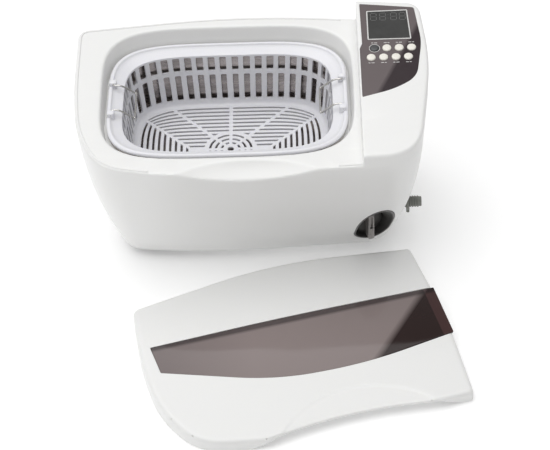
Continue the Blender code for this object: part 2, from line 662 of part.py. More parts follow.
def make_drain():
    cup = add("valve_cup", valve_rod(CUP_RADIUS, -12, CUP_DEPTH), "dark_plastic")
    boolean(cup, add("cup_hollow", valve_rod(CUP_RADIUS - 1.8, -30, CUP_DEPTH - 2.0)))
    boolean(cup, add("cup_stem_hole", valve_rod(4.4, 0, 30, steps=20)))
    boolean(cup, add("body_outside", body_solid(0.0, 0.0, 0.0)), "INTERSECT")
    pivot = empty("valve_axis", VALVE_POINT, (0, 0, VALVE_TURN), FRAME)

    def along(bm):
        """Turns a mesh made along Z so that it runs back from the wall along local Y."""
        return turned_bm(bm, Matrix.Rotation(math.radians(-90), 4, "X"))

    knob = add("valve_knob", along(rod(15.6, 9.6, CUP_DEPTH - 4.2, steps=32)), "dark_plastic", pivot)
    grip = box((-3.4, -2.5, -16.8), (3.4, 10.5, 16.8))
    boolean(knob, add("knob_grip", grip, parent=pivot), "UNION")
    boolean(knob, add("knob_bore", along(rod(2.4, 4, 22, steps=20)), parent=pivot))
    ball = [(6.4 * math.cos(math.radians(turn)), VALVE_INSET + 6.4 * math.sin(math.radians(turn)))
            for turn in (60, 30, 0, -30, -60)]
    profile = [(0, VALVE_INSET + 6.4), *ball, (2.1, VALVE_INSET - 6.0), (2.1, 4.4), (0, 4.4)]
    stem = screw_turned("valve_stem", profile, "zinc_steel", pivot)
    stem.rotation_euler = (math.radians(-90), 0, 0)
    port = rod(2.6, -10, 10)
    bmesh.ops.translate(port, vec=(0, VALVE_INSET, 0), verts=port.verts)
    boolean(stem, add("ball_port", port, parent=pivot))
    body = add("valve_body", along(rod(11.5, CUP_DEPTH + GAP, VALVE_INSET + 12, steps=28)),
               "grey_plastic", pivot)
    chamber = bmesh.new()
    bmesh.ops.create_uvsphere(chamber, u_segments=16, v_segments=8, radius=7.0)
    bmesh.ops.translate(chamber, vec=(0, VALVE_INSET, 0), verts=chamber.verts)
    boolean(body, add("ball_seat", chamber, parent=pivot))
    boolean(body, add("stem_bore", along(rod(2.5, 4, VALVE_INSET - 3)), parent=pivot))
    boolean(body, add("inlet_port", turned_bm(rod(3.0, 0, 30),
                                              Matrix.Translation((0, VALVE_INSET, 0))), parent=pivot))
    boolean(body, add("outlet_port", outlet_rod(3.0, 0, 40)))
    centre = valve_centre()
    top = centre + Vector((0, 0, 12.2))
    below = Vector((*DRAIN_POINT, TANK_FLOOR - 21.5))
    route = smooth_route([below, below - Vector((0, 0, 3)), (90, -41, 54), (104, -36, 63),
                          (121, -29, 70), top + Vector((-0.3, 0, 9)), top], 3)
    tube("drain_hose", [below + Vector((0, 0, 2))] + route, 4.2, "black_rubber")
    fitting = [(4.2, TANK_FLOOR - TANK_SHEET - 0.4), (10.5, TANK_FLOOR - TANK_SHEET - 0.4),
               (10.5, TANK_FLOOR - 6), (6.2, TANK_FLOOR - 6.6), (5.6, TANK_FLOOR - 19),
               (3.2, TANK_FLOOR - 19)]
    spout = screw_turned("drain_fitting", fitting + fitting[:1], "grey_plastic")
    spout.location = Vector((*DRAIN_POINT, 0)) * MM
    pipe = add("outlet_pipe", outlet_rod(4.8, 14.5, 164.6 - centre.x), "grey_plastic")
    boolean(pipe, add("pipe_bore", outlet_rod(3.0, 0, 60)))


def make_barb():
    """The ribbed hose connector that passes through the right wall."""
    face = BARB_FLANGE
    ribs = [(3.2, 165.0), (6.0, 165.0), (6.0, face), (8.6, face), (8.6, face + 2.6), (4.6, face + 2.6)]
    x = face + 3.6
    while x < BARB_TIP - 2.5:
        ribs += [(5.4, x), (4.5, x + 3.0)]
        x += 3.4
    ribs += [(4.2, BARB_TIP), (3.2, BARB_TIP)]
    profile = [(radius, -place) for radius, place in ribs + ribs[:1]]
    barb = screw_turned("hose_barb", profile, "grey_plastic", steps=20)
    barb.rotation_euler = (0, math.radians(-90), 0)
    barb.location = Vector((0, *valve_centre().yz)) * MM


# ---------------------------------------------------------------- lid

def lid_height(u, v):
    return LID_HEIGHT + LID_SLOPE * v


def lid_solid(inset, drop, foot):
    loop = rounded_loop(LID_OUTLINE)
    rings = [at_height(inset_loop(loop, inset) if inset else loop, -foot)]
    for angle in (0, 45, 90):
        curl = 2.5 * (1 - math.cos(math.radians(angle)))
        fall = 2.5 * (1 - math.sin(math.radians(angle)))
        rings.append(at_height(inset_loop(loop, inset + curl),
                               lambda u, v, fall=fall: lid_height(u, v) - drop - fall))
    return loft(rings)


def make_lid():
    inside = add("lid_inside", lid_solid(LID_WALL, LID_WALL, 4.0), parent=LID_FRAME)
    bite = rod(BITE_RADIUS + LID_WALL, -10, 40, centre=BITE_CENTRE, steps=96)
    boolean(inside, add("bite_inside", bite, parent=LID_FRAME))
    shell = add("lid_shell", lid_solid(0.0, 0.0, 0.0), "white_abs", LID_FRAME)
    boolean(shell, inside)
    bite = rod(BITE_RADIUS, -10, 40, centre=BITE_CENTRE, steps=96)
    boolean(shell, add("bite", bite, parent=LID_FRAME))
    arch = [(ARCH_FOOT[0], 0), (ARCH_FOOT[0], -5), (ARCH_FOOT[1], -5), (ARCH_FOOT[1], 0),
            (ARCH_TOP[1], ARCH_HEIGHT), (ARCH_TOP[0], ARCH_HEIGHT)]
    front, behind = LID_OUTLINE[5][1] - 30, LID_OUTLINE[5][1] + 25
    arch = loft([[(u, v, z) for u, z in arch] for v in (front, behind)])
    boolean(shell, add("skirt_arch", arch, parent=LID_FRAME))
    pane = rounded_loop(PANE_OUTLINE, 5)
    seat = prism(inset_loop(pane, -GAP), lambda u, v: lid_height(u, v) - PANE_THICK - GAP,
                 lambda u, v: lid_height(u, v) + 5)
    boolean(shell, add("pane_seat", seat, parent=LID_FRAME))
    light = [(min(u, -6.5 if u > 0 else u), v, r) for u, v, r in PANE_OUTLINE]
    hole = prism(rounded_loop(inset_corners(light, 3.5), 5), 2, 40)
    boolean(shell, add("pane_opening", hole, parent=LID_FRAME))
    window = add("lid_window", prism(pane, lambda u, v: lid_height(u, v) - PANE_THICK,
                                     lambda u, v: lid_height(u, v) - 0.05), "clear_smoke", LID_FRAME)
    boolean(window, add("lid_outside", lid_solid(0.0, 0.0, 4.0), parent=LID_FRAME), "INTERSECT")


# ---------------------------------------------------------------- under the tank

def make_transducer(side, x):
    """A bolted stack under the tank: flared horn, piezo rings, back mass and its bolt."""
    top = TANK_FLOOR - TANK_SHEET - 0.4
    pieces = [("horn", [(0, 0), (22.5, 0), (22.5, -3), (19, -17), (0, -17)], "aluminium"),
              ("piezo", [(5.5, -17.3), (19, -17.3), (19, -28.3), (5.5, -28.3)], "ceramic"),
              ("back_mass", [(0, -28.6), (19, -28.6), (19, -43), (6, -43), (6, -48), (0, -48)],
               "zinc_steel")]
    for piece, profile, look in pieces:
        if profile[0][0]:
            profile = profile + profile[:1]
        made = screw_turned(f"transducer_{piece}_{side}",
                            [(r, top + z) for r, z in profile], look)
        made.location = Vector((x, TANK_Y, 0)) * MM


def make_electronics():
    under_tank = TANK_FLOOR - TANK_SHEET - 0.4
    add("heater_pad", box((-25, -48, under_tank - 2), (25, 44, under_tank)), "orange_silicone")
    sensor = screw_turned("temperature_sensor", [(0, 0), (3.5, 0), (3.5, -9), (0, -9)], "zinc_steel",
                          steps=16)
    sensor.location = Vector((-86, 34, under_tank)) * MM
    board = add("driver_board", box((-96, -4, 17), (-8, 74, 18.6)), "green_board")
    spots = [(-91, 1), (-91, 69), (-13, 1), (-13, 69)]
    boolean(board, add("board_holes", joined([rod(1.6, 10, 30, centre=p, steps=10) for p in spots])))
    for index, place in enumerate(spots):
        add(f"standoff_{index + 1}", rod(2.9, 11.4, 16.7, centre=place, steps=12), "brass")
    coil = screw_turned("output_coil", [(5, 31), (13, 31), (13, 19), (5, 19), (5, 31)], "copper")
    coil.location = Vector((-40, 52, 0)) * MM
    add("transformer", box((-86, 42, 19), (-62, 66, 40)), "black_plastic")
    add("filter_capacitor", rod(8, 19, 45, centre=(-20, 30), steps=20), "black_plastic")
    sink = add("heat_sink", box((-93, 7, 19), (-75, 37, 46)), "aluminium")
    fins = [box((-90.6 + 4.2 * n, 0, 23), (-88.6 + 4.2 * n, 40, 50)) for n in range(4)]
    boolean(sink, add("sink_gaps", joined(fins)))
    make_fan()
    x, y, z = INLET_PLACE
    inlet = add("power_inlet", box((x - 13.8, y - 21, z - 10.1), (x + 13.8, y + 1.2, z + 10.1)),
                "black_plastic")
    boolean(inlet, add("inlet_flange", box((x - 25, y - 1.1, z - 11.5), (x + 25, y + 1.4, z + 11.5))),
            "UNION")
    boolean(inlet, add("inlet_socket", box((x - 12, y - 16, z - 7.8), (x + 12, y + 9, z + 7.8))))
    pins = [box((x + dx - 1, y - 17, z + dz - 2), (x + dx + 1, y - 3, z + dz + 2))
            for dx, dz in ((-7, -2), (0, 2), (7, -2))]
    boolean(inlet, add("inlet_pins", joined(pins)), "UNION")


def make_fan():
    x, y = FAN_CENTRE
    frame = add("fan_frame", box((x - 25, y - 25, 11.4), (x + 25, y + 25, 23.4)), "black_plastic")
    boolean(frame, add("fan_duct", rod(23.2, 13, 30, centre=(x, y), steps=40)))
    vents = [box((x - 21 + 7 * n - 2, y - 18, 5), (x - 21 + 7 * n + 2, y + 18, 15)) for n in range(7)
             if n != 3]
    boolean(frame, add("fan_vents", joined(vents)))
    boolean(frame, add("fan_post", rod(1.8, 12, 21, centre=(x, y), steps=12)), "UNION")
    pivot = empty("fan_axis", (x, y, 0), parent=FRAME)
    rotor = add("fan_rotor", rod(9.5, 14.2, 22.6, steps=24), "black_plastic", pivot)
    blades = []
    for index in range(7):
        blade = box((8.5, -6.0, -0.7), (22.2, 6.0, 0.7))
        turn = Matrix.Rotation(2 * math.pi * index / 7, 4, "Z") @ Matrix.Translation((0, 0, 18.4))
        blades.append(turned_bm(blade, turn @ Matrix.Rotation(math.radians(32), 4, "X")))
    for blade in blades:
        boolean(rotor, add("fan_blade", blade, parent=pivot), "UNION")
    boolean(rotor, add("rotor_bore", rod(2.1, 10, 21.3), parent=pivot))


clear_scene()
LOOKS = {
    "white_abs": material("white_abs", (0.83, 0.83, 0.82), 0.3),
    "basket_plastic": material("basket_plastic", (0.80, 0.80, 0.85), 0.35),
    "stainless": material("stainless", (0.55, 0.53, 0.51), 0.25, 1.0),
    "bright_wire": material("bright_wire", (0.65, 0.64, 0.62), 0.18, 1.0),
    "zinc_steel": material("zinc_steel", (0.60, 0.60, 0.60), 0.35, 1.0),
    "aluminium": material("aluminium", (0.72, 0.72, 0.73), 0.35, 1.0),
    "brass": material("brass", (0.70, 0.55, 0.28), 0.3, 1.0),
    "copper": material("copper", (0.62, 0.32, 0.16), 0.35, 1.0),
    "ceramic": material("ceramic", (0.75, 0.70, 0.60), 0.6),
    "dark_acrylic": material("dark_acrylic", (0.085, 0.065, 0.07), 0.12),
    "clear_smoke": material("clear_smoke", (0.14, 0.10, 0.10), 0.08, alpha=0.7),
    "ivory_key": material("ivory_key", (0.82, 0.80, 0.74), 0.4),
    "dark_key": material("dark_key", (0.09, 0.09, 0.10), 0.4),
    "dark_plastic": material("dark_plastic", (0.13, 0.125, 0.12), 0.45),
    "grey_plastic": material("grey_plastic", (0.30, 0.31, 0.30), 0.5),
    "black_plastic": material("black_plastic", (0.03, 0.03, 0.03), 0.45),
    "black_rubber": material("black_rubber", (0.03, 0.03, 0.03), 0.8),
    "grey_silicone": material("grey_silicone", (0.45, 0.45, 0.45), 0.7),
    "orange_silicone": material("orange_silicone", (0.60, 0.18, 0.05), 0.6),
    "green_board": material("green_board", (0.03, 0.22, 0.10), 0.4),
}
PANEL_TILT = math.atan(POD_SLOPE)
INLET_PLACE = (60.0, wall_y(60.0, 44.0, front=False), 44.0)
FRAME = empty("cleaner_frame", (*FRAME_SHIFT, 0))
BASKET_FRAME = empty("basket_frame", parent=FRAME)
LID_FRAME = empty("lid_frame", (*LID_CORNER, 0), (0, 0, LID_YAW), FRAME)
make_housing()
make_base()
make_tank()
make_basket()
make_handle("handle_left", -1)
make_handle("handle_right", 1)
make_panel()
make_drain()
make_barb()
make_lid()
make_transducer("left", -TRANSDUCER_X)
make_transducer("right", TRANSDUCER_X)
make_electronics()
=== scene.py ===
"""Looks of the ultrasonic cleaner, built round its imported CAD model.

Lengths are in millimetres from the tank's centre, with Z up from the surface that the feet stand on,
and ORIGIN places them in the frame. Smooth mouldings are distance fields turned into meshes; sheet,
wire and turned pieces are lofts, curves and lathed profiles.
"""

import json
import math

import bmesh
import bpy
import numpy as np
from mathutils import Matrix, Vector


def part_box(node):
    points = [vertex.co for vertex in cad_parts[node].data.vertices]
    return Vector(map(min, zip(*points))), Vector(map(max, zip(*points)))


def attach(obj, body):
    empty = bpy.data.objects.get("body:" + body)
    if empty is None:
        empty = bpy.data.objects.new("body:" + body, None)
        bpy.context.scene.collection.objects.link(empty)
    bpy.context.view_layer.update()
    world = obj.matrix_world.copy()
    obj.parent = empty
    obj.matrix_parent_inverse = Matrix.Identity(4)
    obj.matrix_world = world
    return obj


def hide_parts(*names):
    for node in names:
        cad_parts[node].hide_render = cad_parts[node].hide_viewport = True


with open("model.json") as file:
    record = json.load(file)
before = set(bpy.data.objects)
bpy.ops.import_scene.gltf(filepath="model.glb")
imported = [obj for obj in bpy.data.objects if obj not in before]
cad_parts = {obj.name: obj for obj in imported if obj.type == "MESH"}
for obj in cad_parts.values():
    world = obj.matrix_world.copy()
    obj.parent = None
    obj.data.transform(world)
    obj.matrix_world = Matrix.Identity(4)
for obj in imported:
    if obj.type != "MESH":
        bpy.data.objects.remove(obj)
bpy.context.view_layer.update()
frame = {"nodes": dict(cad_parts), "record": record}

MM = 0.001
TANK_LOW, TANK_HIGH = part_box("tank")
TANK_Y = -2.0
ORIGIN = Vector(((TANK_LOW.x + TANK_HIGH.x) / 2, (TANK_LOW.y + TANK_HIGH.y) / 2 - TANK_Y * MM, 0))
TO_FRAME = Matrix.Translation(ORIGIN) @ Matrix.Scale(MM, 4)

# Housing: outlines as (x, y, corner radius), anticlockwise seen from above
WIDE = 5000.0                  # a radius that rounds an edge as far as its length allows
LONGEST = 0.46                 # the share of an edge that one corner's rounding may take
BASE_OUTLINE = [(-124, 84, 30), (-127, 24, WIDE), (-122.5, -28, WIDE), (-107, -52, WIDE), (-50, -58, WIDE),
                (20, -59, WIDE), (160, -50, 40), (178, 15, WIDE), (172, 82, 30), (20, 98, WIDE)]
TOP_OUTLINE = [(-157, 96, 14), (-157.5, 8, WIDE), (-152, -54, WIDE), (-128, -103, WIDE), (-70, -115.5, WIDE),
               (10, -117, WIDE), (190, -109, 42), (207, 15, WIDE), (199, 95, 18), (20, 113, WIDE)]
BELLY = 1.9                    # power of the wall's curve from the base outline to the top outline
WALL_CENTRE, WALL_STEPS = (15.0, 0.0), np.linspace(-0.1, 1.05, 24)
SHELL_BOTTOM, WALL, WALL_INSET = 8.0, 3.0, 0.2
DECK_HEIGHT, DECK_SLOPE, DECK_DROP = 179.0, 0.0787, 0.5
POD_HEIGHT, POD_SLOPE, POD_TOP = 197.5, 0.1337, 210.2
STEP_X = 134.0
HOUSING_LOW, HOUSING_HIGH = (-166, -124, 5), (212, 120, 216)      # corners of the field's grid

# How softly the housing's surfaces meet
DECK_EDGE, POD_EDGE, STEP_EDGE, STEP_FOOT = 2.4, 3.6, 1.8, 1.0
WELL_EDGE, SCOOP_EDGE, BOTTOM_EDGE, HOLLOW_EDGE = 2.2, 0.9, 0.8, 4.0

# The raised line along the deck's outer edge, in runs of degrees about the wall's centre
BEAD_IN, BEAD_RADIUS, BEAD_SUNK = 3.0, 1.35, 0.15
BEAD_RUNS = [(44, 230), (311, 318.5)]

# The finger scoop: a slanted plane in y and z across the deck's front edge
SCOOP_X, SCOOP_HALF, SCOOP_DEPTH, SCOOP_BACK = 22.5, 73.0, 8.7, -60.0
SCOOP_NORMAL, SCOOP_FACE = (-0.603, 0.798), 195.5
SCOOP_MIDDLE, SCOOP_REACH, SCOOP_HOLLOW = (-104.5, 166.0), 10.0, 1.2

# Tank and basket: superellipses about the tank's centre. The tank's flange lies on the housing's ledge,
# and the well above the ledge widens and moves back on its way up.
ROUNDNESS = 4.2
LEDGE_Z, LEDGE_CUT, LEDGE_GAP = 164.0, 20.0, 0.8
WELL_LOW, WELL_HIGH, WELL_SHIFT = (124.5, 91.0), (128.5, 93.6), 3.0
TANK_HALF, TANK_FLANGE, TANK_SHEET = (112.7, 80.2), 9.0, 1.2
TANK_FLOOR, TANK_TOP, TANK_DRAIN = 84.0, LEDGE_Z + 3.3, (84.0, -42.0)
RIM_HALF, RIM_TOP = (122.0, 88.5), 172.0
BASKET_TOP, BASKET_LOW = (109.5, 77.2), (103.4, 74.6)
BASKET_WALL, BASKET_FLOOR = 2.3, 101.0
BASKET_FOOT = [(7.5, 101.0), (4.6, 101.5), (3.0, 102.9), (2.5, 105.0)]      # (inset, height)
SLOT_PITCH, SLOT_WIDTH, SLOT_CORNER = 12.4, 7.2, 1.3
LOWER_SLOTS, UPPER_SLOTS = (108.0, 140.8), (145.6, 163.4)
RIM_FOOT = 165.0
RIM_PROFILE = [(0.02, 165.2), (0.24, 166.7), (0.48, 168.4), (0.68, 169.9), (0.715, 170.6), (0.74, 171.5),
               (0.79, 171.95), (0.86, 172.0), (0.94, 171.6), (1.0, 170.4), (1.0, 168.3)]
FLOOR_PITCH, FLOOR_SLOT, FLOOR_RIB = 5.96, 3.0, 1.2
HUB_RADIUS, HUB_ARCS = 26.0, (21.6, 15.5, 9.4)
RIB_TURN = math.radians(46.7)       # the diagonal ribs from the hub
MITRE_START, MITRE_SLOPE = 40.0, 0.98
HANDLE_X, HANDLE_Z = 117.0, 174.2
HANDLE_HALF, HANDLE_REACH, HANDLE_DROP = 21.0, 23.0, 10.5
WIRE_RADIUS = 1.0

# Control panel
OVERLAY_OUTLINE = [(137.8, 94.5, 1), (138.6, 38.5, 1), (136.0, 31.5, 1), (136.2, -33.6, 1),
                   (168, -24, 90), (191.5, -9, 28), (198.6, 40, 90), (193.2, 87.6, 3)]
OVERLAY_THICK, OVERLAY_GAP, OVERLAY_SEAT = 1.0, 0.35, 1.3
WINDOW_CENTRE, WINDOW_SIZE = (166.5, 64.2), (42.5, 41.6)
KEY_RADIUS, KEY_PITCH = 4.6, 12.55
KEY_ROWS = [((150.7, 31.8), "upper"), ((146.9, 19.2), "lower")]
PANEL_TILT = math.atan(POD_SLOPE)
DIGIT_PLACES, DIGIT_RISE, DIGIT_SIZE = (-15.2, -5.6, 5.6, 14.6), 11.5, (6.0, 10.0)

# Drain valve and hose connector
VALVE_POINT, VALVE_TURN, VALVE_INSET = (143.2, -63.0, 42.0), math.radians(18.0), 38.0
CUP_RADIUS, CUP_DEPTH, CUP_WALL = 19.5, 17.0, 1.8
BARB_FLANGE, BARB_TIP, BARB_PITCH = 181.5, 197.5, 2.6

# Lid, in its own frame: u along its back edge, v towards its back, from its back right corner
LID_CORNER, LID_YAW, LID_CENTRE = (183.1, -76.9), math.radians(15.6), (-148.0, -92.0)
LID_OUTLINE = [(-296, 1, 10), (-304, -70, WIDE), (-301, -130, WIDE), (-275, -182, WIDE),
               (-200, -199.5, WIDE), (-1, -199, 5), (5.8, -95, WIDE), (0, 0, 5), (-142, 22, WIDE)]
LID_HEIGHT, LID_SLOPE, LID_WALL, LID_INSET = 24.0, 0.0534, 2.6, 0.12
BITE_CENTRE, BITE_RADIUS = (-130.0, -619.0), 430.0     # the hollow in the front edge
ARCH_FOOT, ARCH_TOP = (-224.0, -10.0), (-200.0, -36.0)  # the arch in the front edge's foot, in u
ARCH_HEIGHT, ARCH_BACK = 10.3, -174.0
DISH_CENTRE, DISH_RADIUS = (-118.0, -262.0), 103.5     # the faint dished arc above the hollow
DISH_DEPTH, DISH_EDGE, DISH_SLOPE = 0.65, 2.4, 0.02
PANE_OUTLINE = [(-290.4, -53.6, 1), (-287.8, -87.5, 1), (-180, -129, WIDE), (-90, -134, WIDE),
                (12, -120.5, 1), (12, -59.5, 1), (-150, -53.5, WIDE)]
PANE_THICK, PANE_GAP, PANE_LEDGE = 1.8, 0.35, 3.2

# Where the glossy sheets change colour: lines through two points (x, y)
PANEL_SHEEN = ((153.5, -26.0), (194.0, 60.0))
PANE_SHADE = ((149.0, -214.0), (196.0, -132.0))     # the pane's dark end
PANE_BACK_SHADOW = ((-82.0, -211.5), (190.0, -142.5))       # painted shadow of the seat's wall: the dark line along its back edge
PANE_LEFT_SHADE = ((-35.0, -300.0), (-35.0, -100.0))      # painted shade: the pane darker towards its left end
PANE_END = ((208.0, -187.0), (191.0, -128.0))       # the lighter strip at its right end

SHELL_GRID, CUP_GRID = ((1.7, 0.8))
LID_GRID = ((1.6, 1.6, 1.3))
ROOM_GRID, HOLE_GRID = 4.0, 1.6
KEPT_FACES = 0.5               # the share of a smooth moulding's faces that is kept

# Camera: where it looks, how far off, and how it is turned
LOOK_AT, DISTANCE = (47.08, -192.48, 172.0), 1892.0
ELEVATION, PAN, ROLL = math.radians(43.78), math.radians(-1.44), math.radians(2.64)
LENS, SENSOR = 130.9, 36.0


# -------- materials

def new_node(tree, kind, inputs, operation=None):
    """A shader node. Its inputs, by name or number, are set to values or linked to other nodes' outputs."""
    made = tree.nodes.new(kind)
    if operation:
        made.operation = operation
    for name, value in inputs.items():
        if isinstance(value, bpy.types.NodeSocket):
            tree.links.new(value, made.inputs[name])
        else:
            made.inputs[name].default_value = value
    return made


class Surface:
    """A Principled material with helpers that add procedural variation to it."""

    def __init__(self, name, colour, roughness, metallic=0.0):
        self.material = bpy.data.materials.new(name)
        self.material.use_nodes = True
        self.tree = self.material.node_tree
        self.shader = self.tree.nodes["Principled BSDF"]
        self.colour, self.roughness = colour, roughness
        self.set("Base Color", (*colour, 1.0))
        self.set("Roughness", roughness)
        self.set("Metallic", metallic)
        self.place = self.node("ShaderNodeTexCoord", {}).outputs["Object"]

    def set(self, socket, value):
        self.shader.inputs[socket].default_value = value

    def node(self, *args):
        return new_node(self.tree, *args)

    def feed(self, socket, source):
        self.tree.links.new(source, self.shader.inputs[socket])
        return self

    def noise(self, scale, detail, stretch):
        place = self.place
        if stretch:
            place = self.node("ShaderNodeMapping", {"Vector": place, "Scale": stretch}).outputs["Vector"]
        inputs = {"Vector": place, "Scale": scale, "Detail": detail}
        return self.node("ShaderNodeTexNoise", inputs).outputs["Fac"]

    def ramp(self, source, low, high, start=0.35, end=0.65):
        """A smooth change from low to high as source goes from start to end."""
        made = self.node("ShaderNodeValToRGB", {"Fac": source})
        for stop, position, colour in zip(made.color_ramp.elements, (start, end), (low, high)):
            stop.position = position
            stop.color = (*colour, 1.0)
        return made.outputs["Color"]

    def mottle(self, scale, amount, detail=3.0, stretch=None):
        """Varies the colour by a share of itself."""
        low = tuple(c * (1 - amount) for c in self.colour)
        high = tuple(min(1.0, c * (1 + amount)) for c in self.colour)
        return self.feed("Base Color", self.ramp(self.noise(scale, detail, stretch), low, high))

    def rub(self, scale, amount, detail=3.0, stretch=None):
        """Varies the roughness by plus or minus amount."""
        inputs = {"Value": self.noise(scale, detail, stretch), "From Min": 0.3, "From Max": 0.7,
                  "To Min": max(0.02, self.roughness - amount), "To Max": self.roughness + amount}
        return self.feed("Roughness", self.node("ShaderNodeMapRange", inputs).outputs["Result"])

    def across(self, line, low, high, width):
        """A change of colour across the line through two points (x, y), over a width, in millimetres."""
        (ax, ay), (bx, by) = line
        length = math.hypot(bx - ax, by - ay)
        across = Vector(((by - ay) / length, (ax - bx) / length, 0)) / (width * MM)
        start = Vector((ORIGIN.x + ax * MM, ORIGIN.y + ay * MM, 0))
        made = self.node("ShaderNodeVectorMath", {0: self.place, 1: across}, "DOT_PRODUCT")
        shift = self.node("ShaderNodeMath", {0: made.outputs["Value"], 1: 0.5 - across.dot(start)})
        return self.ramp(shift.outputs[0], low, high, 0.0, 1.0)

    def sweep(self, line, low, high, width):
        """The colour changes from low to high across a line."""
        self.tint = self.across(line, low, high, width)
        return self.feed("Base Color", self.tint)

    def shade(self, line, low, high, width):
        """The swept colour is multiplied by another change across another line."""
        inputs = {0: self.tint, 1: self.across(line, low, high, width)}
        self.tint = self.node("ShaderNodeVectorMath", inputs, "MULTIPLY").outputs["Vector"]
        return self.feed("Base Color", self.tint)

    def bump(self, scale, height, detail=2.0, stretch=None):
        """A fine relief of the given height in millimetres."""
        inputs = {"Height": self.noise(scale, detail, stretch), "Distance": height * MM}
        return self.feed("Normal", self.node("ShaderNodeBump", inputs).outputs["Normal"])


def make_looks():
    looks = {}

    def look(name, *args, **settings):
        looks[name] = Surface(name, *args, **settings)
        return looks[name]

    white = look("white_abs", (0.81, 0.81, 0.80), 0.3).mottle(1400, 0.01).bump(2600, 0.008)
    white.set("Subsurface Weight", 0.05)
    white.set("Subsurface Radius", (0.004, 0.004, 0.003))
    basket = look("basket_plastic", (0.76, 0.76, 0.79), 0.34).mottle(900, 0.015).bump(1800, 0.012)
    basket.set("Subsurface Weight", 0.15)
    basket.set("Subsurface Radius", (0.004, 0.004, 0.005))
    steel = look("stainless", (0.42, 0.385, 0.37), 0.26, metallic=1.0)
    steel.mottle(7, 0.34, 6.0, (1, 1, 9)).rub(40, 0.1, 4.0, (1, 1, 12)).bump(30, 0.35, 3.0, (1, 1, 8))
    look("bright_wire", (0.62, 0.61, 0.59), 0.2, metallic=1.0).rub(300, 0.06).bump(900, 0.02)
    look("zinc_steel", (0.60, 0.60, 0.60), 0.35, metallic=1.0).mottle(200, 0.08).rub(150, 0.08)
    look("aluminium", (0.72, 0.72, 0.73), 0.35, metallic=1.0).rub(90, 0.08).bump(700, 0.02)
    look("brass", (0.70, 0.55, 0.28), 0.3, metallic=1.0).rub(200, 0.06)
    look("copper", (0.62, 0.32, 0.16), 0.35, metallic=1.0).bump(60, 0.3, 1.0, (1, 1, 14))
    look("ceramic", (0.75, 0.70, 0.60), 0.6).mottle(120, 0.05)
    overlay = look("dark_acrylic", (0.08, 0.06, 0.065), 0.24)
    overlay.sweep(PANEL_SHEEN, (0.130, 0.108, 0.110), (0.030, 0.020, 0.023), 5.0).rub(160, 0.03)
    overlay.bump(1500, 0.004)
    overlay.set("Specular IOR Level", 0.35)
    smoke = look("clear_smoke", (0.105, 0.085, 0.087), 0.1)
    smoke.set("Specular IOR Level", 0.25)
    smoke.sweep(PANE_SHADE, (0.240, 0.198, 0.192), (0.024, 0.013, 0.012), 8.0).rub(50, 0.02)
    # Painted shadow: a dark line along the pane's back edge, under the seat's wall
    smoke.shade(PANE_BACK_SHADOW, (0.36, 0.35, 0.36), (1, 1, 1), 3.5)
    # Painted shade: the pane darker towards its left end
    smoke.shade(PANE_LEFT_SHADE, (0.68, 0.68, 0.69), (1, 1, 1), 110.0)
    smoke.shade(PANE_END, (1, 1, 1), (2.4, 2.2, 2.3), 1.2)
    smoke.set("Alpha", 0.98)
    glass = look("display_glass", (0.045, 0.045, 0.044), 0.2).mottle(90, 0.10)
    glass.bump(1200, 0.003)
    glass.set("Specular IOR Level", 0.4)
    look("display_segments", (0.11, 0.11, 0.108), 0.3).mottle(200, 0.06)
    look("panel_print", (0.62, 0.61, 0.60), 0.45).mottle(300, 0.06)
    look("ivory_key", (0.80, 0.775, 0.71), 0.42).mottle(900, 0.07).bump(1600, 0.03)
    look("dark_key", (0.06, 0.062, 0.065), 0.35).mottle(900, 0.1).bump(1600, 0.02)
    look("dark_plastic", (0.10, 0.098, 0.095), 0.38).mottle(120, 0.14).rub(200, 0.06).bump(2200, 0.03)
    look("knob_plastic", (0.36, 0.34, 0.33), 0.32, metallic=0.3).mottle(260, 0.12).bump(1800, 0.03)
    look("grey_plastic", (0.20, 0.205, 0.185), 0.46).mottle(150, 0.14).bump(1400, 0.05)
    look("black_plastic", (0.025, 0.025, 0.026), 0.42).mottle(150, 0.15).bump(2000, 0.03)
    look("black_rubber", (0.022, 0.022, 0.022), 0.8).mottle(180, 0.2).bump(900, 0.06)
    look("grey_silicone", (0.45, 0.45, 0.45), 0.7).mottle(90, 0.05)
    look("orange_silicone", (0.60, 0.18, 0.05), 0.6).bump(500, 0.08)
    look("green_board", (0.03, 0.22, 0.10), 0.4).mottle(220, 0.3).bump(400, 0.06)
    floor = look("floor_paint", (0.93, 0.93, 0.93), 0.6).mottle(3, 0.004).rub(6, 0.05)
    floor.set("Specular IOR Level", 0.2)
    floor.set("Emission Color", (1, 1, 1, 1))
    floor.set("Emission Strength", 0.2)
    return looks


# -------- meshes

def mesh_from_arrays(name, points, faces):
    mesh = bpy.data.meshes.new(name)
    count, sides = faces.shape
    mesh.vertices.add(len(points))
    mesh.vertices.foreach_set("co", np.asarray(points, np.float32).ravel())
    mesh.loops.add(count * sides)
    mesh.loops.foreach_set("vertex_index", faces.astype(np.int32).ravel())
    mesh.polygons.add(count)
    mesh.polygons.foreach_set("loop_start", np.arange(0, count * sides, sides, dtype=np.int32))
    mesh.update(calc_edges=True)
    mesh.validate()
    return mesh


def mesh_from_bm(bm, outward=True):
    """The bmesh as a mesh, its faces turned outwards unless they already face as they should."""
    if outward:
        bmesh.ops.recalc_face_normals(bm, faces=bm.faces)
    mesh = bpy.data.meshes.new("mesh")
    bm.to_mesh(mesh)
    bm.free()
    return mesh


def linked(name, data):
    """A new object in the scene."""
    obj = bpy.data.objects.new(name, data)
    bpy.context.scene.collection.objects.link(obj)
    return obj


def settled(obj):
    """The object's mesh with its modifiers applied. The object itself is removed."""
    graph = bpy.context.evaluated_depsgraph_get()
    mesh = bpy.data.meshes.new_from_object(obj.evaluated_get(graph))
    bpy.data.objects.remove(obj, do_unlink=True)
    return mesh


def modified(mesh, kind, **settings):
    """The mesh after one modifier."""
    target = linked("target", mesh)
    modifier = target.modifiers.new("change", kind)
    for name, value in settings.items():
        setattr(modifier, name, value)
    return settled(target)


